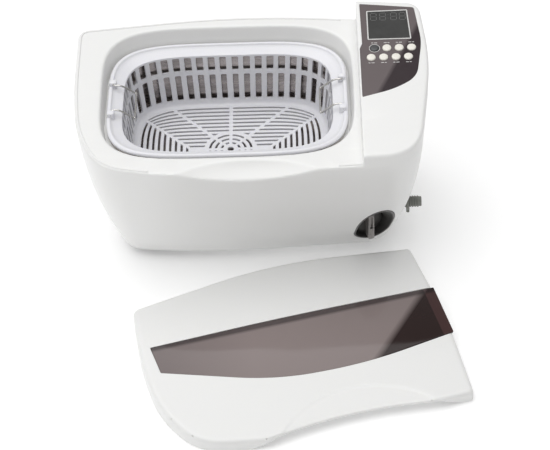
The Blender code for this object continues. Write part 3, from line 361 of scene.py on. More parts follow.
def bevelled(mesh, width, segments):
    """The mesh with its sharper edges rounded off."""
    return modified(mesh, "BEVEL", width=width, segments=segments, limit_method="ANGLE",
                    angle_limit=math.radians(40), harden_normals=False)


def cut(mesh, cutters):
    """The mesh with each of the cutters, which are closed meshes, taken away."""
    target = linked("target", mesh)
    helpers = [linked("cutter", cutter) for cutter in cutters]
    for helper in helpers:
        modifier = target.modifiers.new("cut", "BOOLEAN")
        modifier.operation = "DIFFERENCE"
        modifier.solver = "MANIFOLD"
        modifier.object = helper
    result = settled(target)
    for helper in helpers:
        bpy.data.objects.remove(helper, do_unlink=True)
    return result


def lid_place():
    return Matrix.Translation((*LID_CORNER, 0)) @ Matrix.Rotation(LID_YAW, 4, "Z")


def add(name, mesh, look, body, replaces=(), place=None, sharp=35):
    """A finished piece: mesh in millimetres, moved by place, riding on a CAD body."""
    mesh.transform(TO_FRAME @ (place or Matrix.Identity(4)))
    mesh.materials.clear()
    mesh.materials.append(LOOKS[look].material)
    mesh.shade_smooth()
    mesh.set_sharp_from_angle(angle=math.radians(sharp))
    mesh.name = name
    obj = linked(name, mesh)
    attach(obj, body)
    if replaces:
        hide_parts(*replaces)


def rounded_loop(corners, steps=10):
    """The outline through the corners (x, y, radius), with steps + 1 points round each. No corner's
    rounding takes more than LONGEST of an edge."""
    places = [Vector(corner[:2]) for corner in corners]
    loop = []
    for index, (x, y, radius) in enumerate(corners):
        corner = Vector((x, y))
        before = places[index - 1] - corner
        after = places[(index + 1) % len(places)] - corner
        turn = math.pi - before.angle(after)
        reach = min(radius * math.tan(turn / 2), LONGEST * before.length, LONGEST * after.length)
        start, end = corner + before.normalized() * reach, corner + after.normalized() * reach
        for step in range(steps + 1):
            t = step / steps
            loop.append((1 - t) ** 2 * start + 2 * t * (1 - t) * corner + t ** 2 * end)
    return loop


def inset_loop(loop, amount):
    """The outline moved inwards, where loop runs anticlockwise."""
    moved = []
    for index, point in enumerate(loop):
        along = loop[(index + 1) % len(loop)] - loop[index - 1]
        moved.append(point + Vector((-along.y, along.x)).normalized() * amount)
    return moved


def inset_corners(corners, amount):
    """The outline's corners after each of its edges has moved inwards."""
    places = [Vector(corner[:2]) for corner in corners]
    moved = []
    for index, corner in enumerate(corners):
        before = (places[index] - places[index - 1]).normalized()
        after = (places[(index + 1) % len(places)] - places[index]).normalized()
        first, second = Vector((-before.y, before.x)), Vector((-after.y, after.x))
        shift = (first + second) * amount / (1 + first.dot(second))
        moved.append((*(places[index] + shift), corner[2]))
    return moved


def superellipse(angle, half):
    """Points on a superellipse with half its width and depth given."""
    c, s = np.cos(angle), np.sin(angle)
    power = 2 / ROUNDNESS
    return half[0] * np.sign(c) * np.abs(c) ** power, half[1] * np.sign(s) * np.abs(s) ** power


def run_length(x, y):
    """How far along a line each of its points lies."""
    return np.concatenate([[0], np.cumsum(np.hypot(np.diff(x), np.diff(y)))])


def oval(half, count=192):
    """A superellipse about the tank's centre, its points evenly spread."""
    x, y = superellipse(np.linspace(0, 2 * np.pi, 4001), half)
    length = run_length(x, y)
    target = (np.arange(count) + 0.5) * length[-1] / count
    return [Vector(pair) for pair in zip(np.interp(target, length, x), np.interp(target, length, y) + TANK_Y)]


def at_height(loop, height):
    """The loop's points at a height, which may also be given as height(x, y)."""
    if callable(height):
        return [(point.x, point.y, height(point.x, point.y)) for point in loop]
    return [(point.x, point.y, height) for point in loop]


def skin(rings):
    """A closed surface through rings of equal point counts, capped at both ends."""
    bm = bmesh.new()
    made = [[bm.verts.new(point) for point in ring] for ring in rings]
    count = len(rings[0])
    for low, high in zip(made, made[1:]):
        for index in range(count):
            after = (index + 1) % count
            bm.faces.new((low[index], low[after], high[after], high[index]))
    bm.faces.new(list(reversed(made[0])))
    bm.faces.new(made[-1])
    return mesh_from_bm(bm)


def prism(loop, low, high):
    return skin([at_height(loop, low), at_height(loop, high)])


def box_mesh(low, high):
    bm = bmesh.new()
    bmesh.ops.create_cube(bm, size=1.0)
    bmesh.ops.scale(bm, vec=Vector(high) - Vector(low), verts=bm.verts)
    bmesh.ops.translate(bm, vec=(Vector(low) + Vector(high)) / 2, verts=bm.verts)
    return mesh_from_bm(bm)


def rod_mesh(radius, low, high, matrix=None, steps=64):
    bm = bmesh.new()
    bmesh.ops.create_cone(bm, cap_ends=True, segments=steps, radius1=radius, radius2=radius,
                          depth=high - low)
    bmesh.ops.translate(bm, vec=(0, 0, (low + high) / 2), verts=bm.verts)
    if matrix:
        bmesh.ops.transform(bm, matrix=matrix, verts=bm.verts)
    return mesh_from_bm(bm)


def above(surface, lift):
    """A surface given by its height(x, y), lifted."""
    return lambda x, y: surface(x, y) + lift


def circle(radius, centre=(0, 0), steps=48):
    return [(centre[0] + radius * math.cos(2 * math.pi * k / steps),
             centre[1] + radius * math.sin(2 * math.pi * k / steps)) for k in range(steps)]


def turned(profile, steps=64, closed=False):
    """A turned solid: profile is (radius, height) down its outer side, about Z. Radius 0 closes it."""
    bm = bmesh.new()
    rings = []
    for radius, height in profile:
        spots = circle(radius, steps=steps) if radius else [(0, 0)]
        rings.append([bm.verts.new((x, y, height)) for x, y in spots])
    for upper, lower in zip(rings, rings[1:] + (rings[:1] if closed else [])):
        for k in range(steps):
            corners = [upper[k % len(upper)], lower[k % len(lower)],
                       lower[(k + 1) % len(lower)], upper[(k + 1) % len(upper)]]
            corners = list(dict.fromkeys(corners))
            if len(corners) > 2:
                bm.faces.new(corners)
    return mesh_from_bm(bm)


def joined(meshes):
    """Several meshes as one."""
    bm = bmesh.new()
    for mesh in meshes:
        bm.from_mesh(mesh)
    return mesh_from_bm(bm, outward=False)


def moved(mesh, matrix):
    mesh.transform(matrix)
    return mesh


def draped(mesh, height):
    """The flat mesh laid on a surface that is given by its height(x, y)."""
    for vert in mesh.vertices:
        vert.co.z += height(vert.co.x, vert.co.y)
    return mesh


def curve_line(curve, points, closed):
    """Adds a straight-segmented line to the curve, through points with two or three coordinates."""
    spline = curve.splines.new("POLY")
    spline.points.add(len(points) - 1)
    for point, spot in zip(spline.points, points):
        point.co = (*spot, 1) if len(spot) == 3 else (*spot, 0, 1)
    spline.use_cyclic_u = closed


def plate(loops, half_thick, edge):
    """A flat plate with rounded edges: the first loop is its outline and the others are holes."""
    curve = bpy.data.curves.new("plate", "CURVE")
    curve.dimensions, curve.fill_mode = "2D", "BOTH"
    curve.extrude, curve.bevel_depth, curve.bevel_resolution = half_thick - edge, edge, 1
    for loop in loops:
        curve_line(curve, loop, True)
    return settled(linked("plate", curve))


def wire(points, radius):
    curve = bpy.data.curves.new("wire", "CURVE")
    curve.dimensions = "3D"
    curve.bevel_depth, curve.bevel_resolution, curve.use_fill_caps = radius, 4, True
    curve_line(curve, points, False)
    return settled(linked("wire", curve))


# -------- distance fields

def smooth_max(a, b, blend):
    """The larger of two distances, the crease between them rounded where they differ by less than blend."""
    return np.maximum(a, b) + blend / 4 * np.maximum(0, 1 - np.abs(a - b) / blend) ** 2


def smooth_min(a, b, blend):
    return -smooth_max(-a, -b, blend)


def shell_cells(field, spacing, low):
    """Surface nets: one point in each grid cell that the surface crosses, and a quad for each
    grid edge that it crosses."""
    inside = field < 0
    count = sum(inside[i:inside.shape[0] - 1 + i, j:inside.shape[1] - 1 + j,
                       k:inside.shape[2] - 1 + k].astype(np.int8)
                for i in (0, 1) for j in (0, 1) for k in (0, 1))
    active = (count > 0) & (count < 8)
    index = np.full(active.shape, -1, np.int64)
    cells = np.argwhere(active)
    index[active] = np.arange(len(cells))
    total, hits = np.zeros((len(cells), 3)), np.zeros(len(cells))
    corners = [np.array(c) for c in np.ndindex(2, 2, 2)]
    for first in corners:
        for axis in range(3):
            if first[axis]:
                continue
            second = first.copy()
            second[axis] = 1
            a = field[tuple((cells + first).T)]
            b = field[tuple((cells + second).T)]
            crossed = (a < 0) != (b < 0)
            share = np.where(crossed, a / np.where(crossed, a - b, 1), 0)
            total += crossed[:, None] * (first + share[:, None] * (second - first))
            hits += crossed
    points = low + spacing * (cells + total / hits[:, None])
    quads = []
    for axis in range(3):
        u, v = [other for other in range(3) if other != axis]
        start = [slice(1, size - 1) for size in field.shape]
        start[axis] = slice(0, field.shape[axis] - 1)
        after = list(start)
        after[axis] = slice(1, field.shape[axis])
        here = np.argwhere(inside[tuple(start)] != inside[tuple(after)])
        here = here + [1 if k != axis else 0 for k in range(3)]
        outward = inside[tuple(here.T)]
        step_u, step_v = np.eye(3, dtype=int)[u], np.eye(3, dtype=int)[v]
        ring = np.stack([index[tuple((here - step_u * i - step_v * j).T)]
                         for i, j in ((1, 1), (0, 1), (0, 0), (1, 0))], axis=1)
        if axis == 1:
            outward = ~outward
        ring[~outward] = ring[~outward][:, ::-1]
        quads.append(ring)
    quads = np.concatenate(quads)
    return points, quads[(quads >= 0).all(axis=1)]


def field_mesh(distance, low, high, spacing, keep=1.0):
    """The zero surface of a distance function, each point moved onto it, with a share of its faces kept."""
    low, high = np.array(low, float), np.array(high, float)
    spacing = np.broadcast_to(np.array(spacing, float), (3,))
    counts = np.ceil((high - low) / spacing).astype(int) + 1
    axes = [low[k] + spacing[k] * np.arange(counts[k]) for k in range(3)]
    field = np.empty(counts)
    for layer, z in enumerate(axes[2]):
        x, y = np.meshgrid(axes[0], axes[1], indexing="ij")
        field[:, :, layer] = distance(x, y, np.full_like(x, z))
    points, quads = shell_cells(field, spacing, low)
    nudge = 0.05
    for _ in range(3):
        x, y, z = points.T
        value = distance(x, y, z)
        slope = np.stack([distance(x + nudge, y, z) - distance(x - nudge, y, z),
                          distance(x, y + nudge, z) - distance(x, y - nudge, z),
                          distance(x, y, z + nudge) - distance(x, y, z - nudge)], axis=1) / (2 * nudge)
        size = np.maximum((slope ** 2).sum(axis=1), 0.2)
        move = np.clip((value / size)[:, None] * slope, -0.6 * spacing, 0.6 * spacing)
        points = points - move
    mesh = mesh_from_arrays("field", points, quads)
    return modified(mesh, "DECIMATE", ratio=keep) if keep < 1 else mesh


def polar_radius(loop, centre):
    """How far the outline lies from the centre, at 1440 even angles from -pi."""
    count = 1440
    points = np.array([tuple(point) for point in loop]) - centre
    angle = np.arctan2(points[:, 1], points[:, 0])
    order = np.argsort(angle)
    dense_angle, dense_radius = [], []
    for first, second in zip(order, np.roll(order, -1)):
        share = np.linspace(0, 1, 24, endpoint=False)[:, None]
        run = points[first] * (1 - share) + points[second] * share
        dense_angle.append(np.arctan2(run[:, 1], run[:, 0]))
        dense_radius.append(np.hypot(run[:, 0], run[:, 1]))
    dense_angle, dense_radius = np.concatenate(dense_angle), np.concatenate(dense_radius)
    order = np.argsort(dense_angle)
    even = -np.pi + 2 * np.pi * np.arange(count) / count
    return np.interp(even, dense_angle[order], dense_radius[order], period=2 * np.pi)


class PolarWall:
    """Signed distance to an outline that changes with a share from 0 to 1."""

    def __init__(self, outlines, centre, shares):
        self.centre = np.array(centre, float)
        self.shares = shares
        self.radius = np.array([polar_radius(loop, self.centre) for loop in outlines])
        slope = np.gradient(self.radius[-1]) / (2 * np.pi / self.radius.shape[1])
        self.lean = 1 / np.sqrt(1 + (slope / self.radius[-1]) ** 2)

    def __call__(self, x, y, share=0.0):
        dx, dy = x - self.centre[0], y - self.centre[1]
        count = self.radius.shape[1]
        turn = (np.arctan2(dy, dx) + np.pi) / (2 * np.pi) * count
        low = np.floor(turn).astype(int)
        part = turn - low
        low, high = low % count, (low + 1) % count

        def between(row):
            return self.radius[row, low] * (1 - part) + self.radius[row, high] * part

        if len(self.shares) == 1:
            radius = between(0)
        else:
            step = (share - self.shares[0]) / (self.shares[1] - self.shares[0])
            step = np.clip(step, 0, len(self.shares) - 1.001)
            row = np.floor(step).astype(int)
            rest = step - row
            radius = between(row) * (1 - rest) + between(row + 1) * rest
        return (np.hypot(dx, dy) - radius) * self.lean[low]


def deck_height(y):
    return DECK_HEIGHT + DECK_SLOPE * y


def pod_height(y):
    return POD_HEIGHT + POD_SLOPE * y


def pod_top(x, y):
    return pod_height(y)


def body_outline(swing):
    """The wall's outline at a share of the way from the base outline to the top outline."""
    corners = [tuple(low + swing * (high - low) for low, high in zip(base, top))
               for base, top in zip(BASE_OUTLINE, TOP_OUTLINE)]
    return rounded_loop(corners, 24)


WALL_FIELD = PolarWall([body_outline(swing) for swing in WALL_STEPS], WALL_CENTRE, WALL_STEPS)


def wall_distance(x, y, z):
    climb = (z - SHELL_BOTTOM) / (pod_height(y) - SHELL_BOTTOM)
    swing = 1 - np.sign(1 - climb) * np.abs(1 - climb) ** BELLY
    return WALL_FIELD(x, y, swing) + WALL_INSET


def oval_distance(x, y, half_x, half_y, centre_y):
    """Distance to a superellipse whose half sizes may be arrays."""
    u, v = np.abs(x) / half_x, np.abs(y - centre_y) / half_y
    power = ROUNDNESS
    size = np.maximum((u ** power + v ** power) ** (1 / power), 1e-6)
    slope = size ** (1 - power) * np.hypot(u ** (power - 1) / half_x, v ** (power - 1) / half_y)
    return (size - 1) / np.maximum(slope, 1e-4)


def well_distance(x, y, z):
    """The well that the tank and the basket's rim sit in, which widens a little upwards."""
    climb = np.clip((z - LEDGE_Z) / (deck_height(y) - LEDGE_Z), -0.3, 1.6)
    half_x, half_y = (low + climb * (high - low) for low, high in zip(WELL_LOW, WELL_HIGH))
    return oval_distance(x, y, half_x, half_y, TANK_Y + WELL_SHIFT * climb)


def scoop_distance(x, y, z):
    """The finger scoop: a slanted, slightly hollow cut off the deck's front edge, deepest at its middle."""
    (lean, rise), (middle_y, middle_z) = SCOOP_NORMAL, SCOOP_MIDDLE
    share = ((x - SCOOP_X) / SCOOP_HALF) ** 2
    along = (rise * (y - middle_y) - lean * (z - middle_z)) / SCOOP_REACH
    hollow = SCOOP_HOLLOW * np.maximum(1 - share, 0) * np.maximum(1 - along * along, 0)
    return SCOOP_FACE + SCOOP_DEPTH * share - hollow - (lean * y + rise * z)


def housing_outside(x, y, z):
    wall, scoop, well = wall_distance(x, y, z), scoop_distance(x, y, z), well_distance(x, y, z)
    body = smooth_max(wall, z - deck_height(y) + DECK_DROP, DECK_EDGE)
    tower = smooth_max(wall, np.maximum(z - pod_height(y), z - POD_TOP), POD_EDGE)
    body = smooth_min(body, smooth_max(tower, STEP_X - x, STEP_EDGE), STEP_FOOT)
    body = smooth_max(body, -np.maximum(well, LEDGE_Z - z), WELL_EDGE)
    body = smooth_max(body, -scoop - np.maximum(0, y - SCOOP_BACK), SCOOP_EDGE)
    opening = oval_distance(x, y, TANK_HALF[0] + LEDGE_GAP, TANK_HALF[1] + LEDGE_GAP, TANK_Y)
    body = np.maximum(body, -np.maximum(opening, LEDGE_Z - LEDGE_CUT - z))
    return smooth_max(body, SHELL_BOTTOM - z, BOTTOM_EDGE)


def housing_hollow(x, y, z):
    """The room inside the housing, open downwards."""
    roof = np.minimum(z - deck_height(y), np.maximum(z - pod_height(y), STEP_X - x)) + WALL
    hollow = smooth_max(wall_distance(x, y, z) + WALL, roof, HOLLOW_EDGE)
    hollow = np.maximum(hollow, -np.maximum(well_distance(x, y, z) - WALL, LEDGE_Z - WALL - z))
    return np.maximum(np.maximum(hollow, WALL - scoop_distance(x, y, z)), 2 - z)


# -------- places on the housing

def valve_axis():
    return Matrix.Translation(VALVE_POINT) @ Matrix.Rotation(VALVE_TURN, 4, "Z")


def outlet_axis():
    centre = valve_axis() @ Vector((0, VALVE_INSET, 0))
    return Matrix.Translation(centre) @ Matrix.Rotation(math.radians(90), 4, "Y")


def cup_section(x, y, z):
    """Distance to the middle of the valve's recess, which is round at its back and opens upwards
    towards its front, and how far back it is."""
    c, s = math.cos(VALVE_TURN), math.sin(VALVE_TURN)
    dx, dy = x - VALVE_POINT[0], y - VALVE_POINT[1]
    across, depth, rise = dx * c + dy * s, -dx * s + dy * c, z - VALVE_POINT[2]
    over = rise - np.clip(rise, 0, 0.85 * np.clip(4.0 - depth, 0, 40))
    return np.hypot(across, over), depth


def valve_hole_distance(x, y, z):
    radius, depth = cup_section(x, y, z)
    return np.maximum(np.maximum(radius - CUP_RADIUS - 0.3, depth - 30), -42 - depth)


def on_panel(x, y):
    """A frame on the pod's top, its Z square to the top."""
    return Matrix.Translation((x, y, pod_height(y))) @ Matrix.Rotation(PANEL_TILT, 4, "X")


def keys():
    """Each key's name, its row's name, its place in the row and its centre."""
    return [(f"key_{row}_{index + 1}", row, index, (start[0] + KEY_PITCH * index, start[1]))
            for start, row in KEY_ROWS for index in range(4)]


# -------- housing

def housing_cutters():
    """The room inside, the overlay's seat, and the holes for the valve, outlet, keys and power inlet."""
    hollow = field_mesh(housing_hollow, (*HOUSING_LOW[:2], -3), HOUSING_HIGH, ROOM_GRID)
    seat = prism(inset_loop(rounded_loop(OVERLAY_OUTLINE), -OVERLAY_GAP),
                 above(pod_top, -OVERLAY_SEAT), above(pod_top, 9))
    holes = [field_mesh(valve_hole_distance, (106, -130, 18), (188, -16, 106), HOLE_GRID),
             rod_mesh(6.6, 25, 90, outlet_axis())]
    holes += [rod_mesh(KEY_RADIUS + 1.6, -12, 12, on_panel(*centre)) for *_, centre in keys()]
    low, high = (TO_FRAME.inverted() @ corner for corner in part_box("power_inlet"))
    flange = box_mesh((low.x - 0.3, high.y - 3.0, low.z - 0.3), (high.x + 0.3, high.y + 12, high.z + 0.3))
    socket = box_mesh((low.x + 10.7, low.y - 3, low.z + 0.9), (high.x - 10.7, high.y + 3, high.z - 0.9))
    return [hollow, seat, *holes, flange, socket]


def bead_route(start, end):
    """The line that the deck's raised bead follows, between two angles seen from the wall's centre."""
    start, end = math.radians(start), math.radians(end)
    turns = np.linspace(start, end, max(3, round((end - start) * 60)))
    near, far = np.zeros_like(turns), np.full_like(turns, 260.0)
    for _ in range(40):
        reach = (near + far) / 2
        x, y = WALL_CENTRE[0] + reach * np.cos(turns), WALL_CENTRE[1] + reach * np.sin(turns)
        outside = wall_distance(x, y, deck_height(y)) > -BEAD_IN
        near, far = np.where(outside, near, reach), np.where(outside, reach, far)
    sunk = DECK_DROP + BEAD_SUNK * BEAD_RADIUS
    return [Vector((px, py, deck_height(py) - sunk)) for px, py in zip(x, y)]


def make_housing():
    shell = field_mesh(housing_outside, HOUSING_LOW, HOUSING_HIGH, SHELL_GRID, KEPT_FACES)
    add("housing_shell_smooth", cut(shell, housing_cutters()), "white_abs", "housing",
        replaces=["housing_shell"], sharp=40)
    bead = joined([wire(bead_route(*run), BEAD_RADIUS) for run in BEAD_RUNS])
    add("housing_deck_bead", bead, "white_abs", "housing", sharp=60)


# -------- tank and basket

def make_tank():
    """The tank's sheet, drawn as rings: up its inside from the floor's middle, over the rolled top,
    round the flange and back under the floor."""
    flange = [half + TANK_FLANGE for half in TANK_HALF]
    low, high, sheet = TANK_FLOOR, TANK_TOP, TANK_SHEET

    def ring(shrink, height, half=TANK_HALF):
        return at_height(oval((half[0] - shrink, half[1] - shrink)), height)

    inside = [(24, low), (11, low), (7.2, low + 0.6), (4.2, low + 2.6), (2.2, low + 6.2), (sheet, low + 11),
              (sheet, low + 40), (sheet, high - 3), (0.8, high - 1.6), (-0.4, high - 0.5), (-2.0, high)]
    edge = [(0.3, high), (0, high - 0.3), (0, high - sheet)]
    outside = [(-2.4, high - sheet), (0, high - 2.6), (0, low + 10.5), (3, low + 2.6), (9.6, low - sheet),
               (24, low - sheet)]
    tank = skin([ring(*row) for row in inside] + [ring(*row, flange) for row in edge]
                + [ring(*row) for row in outside])
    drain = rod_mesh(5.0, low - 8, low + 8, Matrix.Translation((*TANK_DRAIN, 0)), 32)
    add("tank_drawn_sheet", cut(tank, [drain]), "stainless", "housing", replaces=["tank"], sharp=50)


def basket_half(height):
    """Half the width and depth of the basket's inner surface at a height."""
    share = (height - BASKET_FLOOR) / (RIM_TOP - BASKET_FLOOR)
    return [low + share * (high - low) - BASKET_WALL for low, high in zip(BASKET_LOW, BASKET_TOP)]


def slot_width(height, low, high, width):
    """How wide a slot with rounded corners is at a height."""
    depth = min(height - low, high - height, SLOT_CORNER)
    return width - 2 * SLOT_CORNER + 2 * math.sqrt(SLOT_CORNER ** 2 - (SLOT_CORNER - depth) ** 2)


def basket_rows():
    """The inner surface from the floor's edge over the rim: (half sizes, height, slot width).
    The upper slots are a little wider than the lower ones. The rim's profile is given as the share of
    the way out to the rim's edge, and the height."""
    rows = [([low - inset for low in BASKET_LOW], height, None) for inset, height in BASKET_FOOT]
    for bottom, top, width in ((*LOWER_SLOTS, SLOT_WIDTH - 0.8), (*UPPER_SLOTS, SLOT_WIDTH)):
        low, high = bottom + SLOT_CORNER, top - SLOT_CORNER
        middle = [low + share * (high - low) for share in (0.33, 0.67)]
        heights = [bottom, bottom + 0.25, bottom + 0.7, low, *middle, high, top - 0.7, top - 0.25, top]
        rows += [(basket_half(height), height, slot_width(height, bottom, top, width)) for height in heights]
    for share, height in RIM_PROFILE:
        half = [start + share * (end - start) for start, end in zip(basket_half(RIM_FOOT), RIM_HALF)]
        rows.append((half, height, None))
    return rows


def basket_wall():
    """The wall's inner surface as a grid of quads, open at the slots, thickened outwards."""
    rows = basket_rows()
    fine = np.linspace(0, 2 * np.pi, 8001)
    length = run_length(*superellipse(fine, basket_half(140.0)))
    count = 4 * round(length[-1] / SLOT_PITCH / 4)
    pitch = length[-1] / count
    centre = (np.arange(count) + 0.5) * pitch
    bm = bmesh.new()
    made = []
    for half, height, width in rows:
        w = width or SLOT_WIDTH - 2.0
        rib = (pitch - w) / 3
        steps = [-w / 2, -w / 6, w / 6, w / 2, w / 2 + rib, w / 2 + 2 * rib]
        along = (centre[:, None] + np.array(steps)).ravel() % length[-1]
        x, y = superellipse(np.interp(along, length, fine), half)
        made.append([bm.verts.new((px, py + TANK_Y, height)) for px, py in zip(x, y)])
    columns = 6 * count
    for index in range(len(rows) - 1):
        slotted = rows[index][2] and rows[index + 1][2] and rows[index][1] != LOWER_SLOTS[1]
        for k in range(columns):
            if slotted and k % 6 < 3:
                continue
            after = (k + 1) % columns
            bm.faces.new((made[index][k], made[index + 1][k], made[index + 1][after], made[index][after]))
    return modified(mesh_from_bm(bm, outward=False), "SOLIDIFY", thickness=BASKET_WALL, offset=-1)


def thinned(points, count):
    """At most count of the points, evenly picked."""
    picks = np.linspace(0, len(points) - 1, min(count, len(points))).round().astype(int)
    return [points[pick] for pick in picks]


def strip(curve, keep, count):
    """The outline of a slot along part of a curve: its middle moved to both sides by half the slot's
    width, and cut to where keep(x, y) is true."""
    sides = []
    for shift in (FLOOR_SLOT / 2, -FLOOR_SLOT / 2):
        points = [point for point in curve(shift) if keep(*point)]
        if len(points) < 3:
            return None
        sides.append(thinned(points, count))
    return sides[0] + sides[1][::-1]


def past_mitre(x, y):
    """How far behind the line where the floor's rows meet its columns."""
    return (y - MITRE_SLOPE * (x - MITRE_START)) / math.hypot(1, MITRE_SLOPE)


def past_rib(x, y):
    """How far behind the diagonal rib from the hub."""
    return y * math.cos(RIB_TURN) - x * math.sin(RIB_TURN)


def row_slots():
    """Slots that run sideways behind the hub and on both sides of the diagonal rib, bent at their ends."""
    slots, xs = [], np.linspace(0, 98, 700)

    def clear(x, y):
        return math.hypot(x, y) > HUB_RADIUS + FLOOR_RIB

    for row in range(11):
        def line(shift, row=row):
            sag = 16 - 1.6 * row
            return [(x, 65.0 - FLOOR_PITCH * row - sag * (x / 88) ** 5 + shift) for x in xs]
        for part in (lambda x, y: clear(x, y) and x > 1.6 and past_rib(x, y) > 1.3,
                     lambda x, y: clear(x, y) and past_rib(x, y) < -1.3 and past_mitre(x, y) > FLOOR_RIB
                     and y > FLOOR_RIB):
            slots.append(strip(line, part, 14))
    return slots


def column_slots():
    """Slots that run from front to back at the floor's ends, bent at their ends."""
    slots, ys = [], np.linspace(-66, 66, 900)
    for column in range(9):
        def line(shift, column=column):
            sag = 6 - 0.65 * column
            return [(93.0 - FLOOR_PITCH * column - sag * (abs(y) / 49) ** 3.5 + shift, y) for y in ys]
        slots.append(strip(line, lambda x, y: past_mitre(x, abs(y)) < -FLOOR_RIB, 26))
    return slots


def hub_slots():
    """Arcs round the hub's middle, on both sides of the diagonal rib."""
    slots, turns = [], np.linspace(0, math.pi / 2, 120)
    for radius in HUB_ARCS:
        def line(shift, radius=radius):
            return [((radius + shift) * math.cos(t), (radius + shift) * math.sin(t)) for t in turns]
        for part in (lambda x, y: x > 1.3 and past_rib(x, y) > 1.1,
                     lambda x, y: past_rib(x, y) < -1.1 and y > 1.3):
            slots.append(strip(line, part, 8))
    return slots


def floor_holes():
    """The floor's slots, mirrored from the ones at its back right, and the hole in the hub's middle."""
    holes = []
    for slots, mirrors in ((row_slots() + hub_slots(), ((1, 1), (-1, 1), (1, -1), (-1, -1))),
                           (column_slots(), ((1, 1), (-1, 1)))):
        for slot in filter(None, slots):
            holes += [[(side_x * x, side_y * y + TANK_Y) for x, y in slot] for side_x, side_y in mirrors]
    holes.append([(3.6 * math.cos(t), 3.6 * math.sin(t) + TANK_Y) for t in np.arange(0, 6.2, 0.26)])
    return holes


def basket_clips():
    """Two clips at each end of the basket, round the ends of its wire handles."""
    clips = []
    for side in (1, -1):
        for end in (1, -1):
            x, y = side * HANDLE_X, TANK_Y + end * (HANDLE_HALF + 3.2)
            block = box_mesh((x - 4.2, y - 3.4, RIM_TOP - 4.5), (x + 3.4, y + 3.4, HANDLE_Z + 2.4))
            clips.append(bevelled(block, 1.6, 3))
    return joined(clips)


def make_basket():
    outline = oval([low - 4.2 for low in BASKET_LOW], 128)
    floor = moved(plate([outline] + floor_holes(), 1.2, 0.3), Matrix.Translation((0, 0, 99.9)))
    add("basket_wall_slotted", basket_wall(), "basket_plastic", "basket_body", replaces=["basket"], sharp=38)
    add("basket_floor_slotted", floor, "basket_plastic", "basket_body", sharp=50)
    add("basket_clips", basket_clips(), "basket_plastic", "basket_body", sharp=50)


def smooth_route(points, steps=8):
    """A Catmull-Rom curve through the points."""
    ends = [2 * points[0] - points[1]] + points + [2 * points[-1] - points[-2]]
    route = []
    for a, b, c, d in zip(ends, ends[1:], ends[2:], ends[3:]):
        for step in range(steps):
            t = step / steps
            route.append(0.5 * (2 * b + (c - a) * t + (2 * a - 5 * b + 4 * c - d) * t * t
                                + (3 * b - 3 * c + d - a) * t ** 3))
    return route + [points[-1]]


def make_handles():
    near, reach, drop = -HANDLE_HALF + 1.6, HANDLE_REACH, -HANDLE_DROP
    arm = [(0, -HANDLE_HALF - 6.6, 0), (0, near - 2.0, 0), (0.8, near - 0.64, 0.2), (3.0, near, 0.4),
           (9.0, near, -0.8), (reach - 2.4, near, drop + 1.2), (reach - 0.6, near + 0.8, drop + 0.2),
           (reach, near + 2.8, drop)]
    arm += [(x, -y, z) for x, y, z in reversed(arm)]
    for name, side in (("left", -1), ("right", 1)):
        points = [Vector((side * (HANDLE_X - x), TANK_Y + y, HANDLE_Z + z)) for x, y, z in arm]
        add(f"wire_handle_{name}", wire(smooth_route(points), WIRE_RADIUS), "bright_wire",
            f"{name}_handle", replaces=[f"handle_{name}"], sharp=60)


# -------- control panel

def bar(centre, length, width, turn=0.0):
    """A printed bar with pointed ends, as on a segment display."""
    half, side = length / 2, width / 2
    shape = [(-half, 0), (-half + side, -side), (half - side, -side), (half, 0), (half - side, side),
             (-half + side, side)]
    c, s = math.cos(turn), math.sin(turn)
    return [(centre[0] + x * c - y * s, centre[1] + x * s + y * c) for x, y in shape]


def digit(centre, width, height):
    """The seven segments of a blank figure eight."""
    x, y = centre
    upright = math.pi / 2
    segments = [bar((x, y + level), width - 1.0, 0.7) for level in (-height / 2, 0, height / 2)]
    for side in (-width / 2, width / 2):
        for level in (-height / 4, height / 4):
            segments.append(bar((x + side, y + level), height / 2 - 0.8, 0.7, upright))
    return segments


def window_loop():
    (x, y), (width, depth) = WINDOW_CENTRE, WINDOW_SIZE
    corners = [(x - width / 2 - 1.2, y - depth / 2, 1.5), (x + width / 2 + 1.2, y - depth / 2, 1.5),
               (x + width / 2 - 1.2, y + depth / 2, 1.5), (x - width / 2 - 1.2, y + depth / 2 - 0.8, 1.5)]
    return rounded_loop(corners, 8)


def make_overlay(window):
    holes = [circle(KEY_RADIUS + OVERLAY_GAP, centre) for *_, centre in keys()] + [inset_loop(window, -0.25)]
    sheet = plate([rounded_loop(OVERLAY_OUTLINE, 12)] + holes, OVERLAY_THICK / 2, 0.12)
    add("overlay_sheet", draped(sheet, above(pod_top, -0.1 - OVERLAY_THICK / 2)), "dark_acrylic", "housing",
        replaces=["panel_overlay"], sharp=60)


def key_marks():
    """Two printed dashes above each key of the upper row and below each key of the lower row."""
    marks, gap = [], 0.5
    for _, row, index, (x, y) in keys():
        widths = (3.4, 2.2) if index % 2 else (2.4, 3.6)
        spot = x - (sum(widths) + gap) / 2
        for width in widths:
            marks.append(bar((spot + width / 2, y + (7.3 if row == "upper" else -7.4)), width, 0.75))
            spot += width + gap
    return marks


def make_glass(window):
    glass = draped(plate([window], 0.55, 0.15), above(pod_top, -0.5))
    add("display_glass_pane", glass, "display_glass", "housing",
        replaces=["display_window"], sharp=60)


def make_print(window):
    """The line round the display, the dashes at the keys and the ring round the first key."""
    line = plate([inset_loop(window, inset) for inset in (0.10, 1.35)], 0.03, 0.005)
    line = draped(line, above(pod_top, 0.06))
    marks = draped(plate(key_marks(), 0.02, 0.004), above(pod_top, -0.09))
    ring = [circle(KEY_RADIUS + wider, KEY_ROWS[0][0]) for wider in (0.95, 0.42)]
    ring = draped(plate(ring, 0.02, 0.004), above(pod_top, -0.09))
    add("panel_print", joined([line, marks, ring]), "panel_print", "housing", sharp=60)


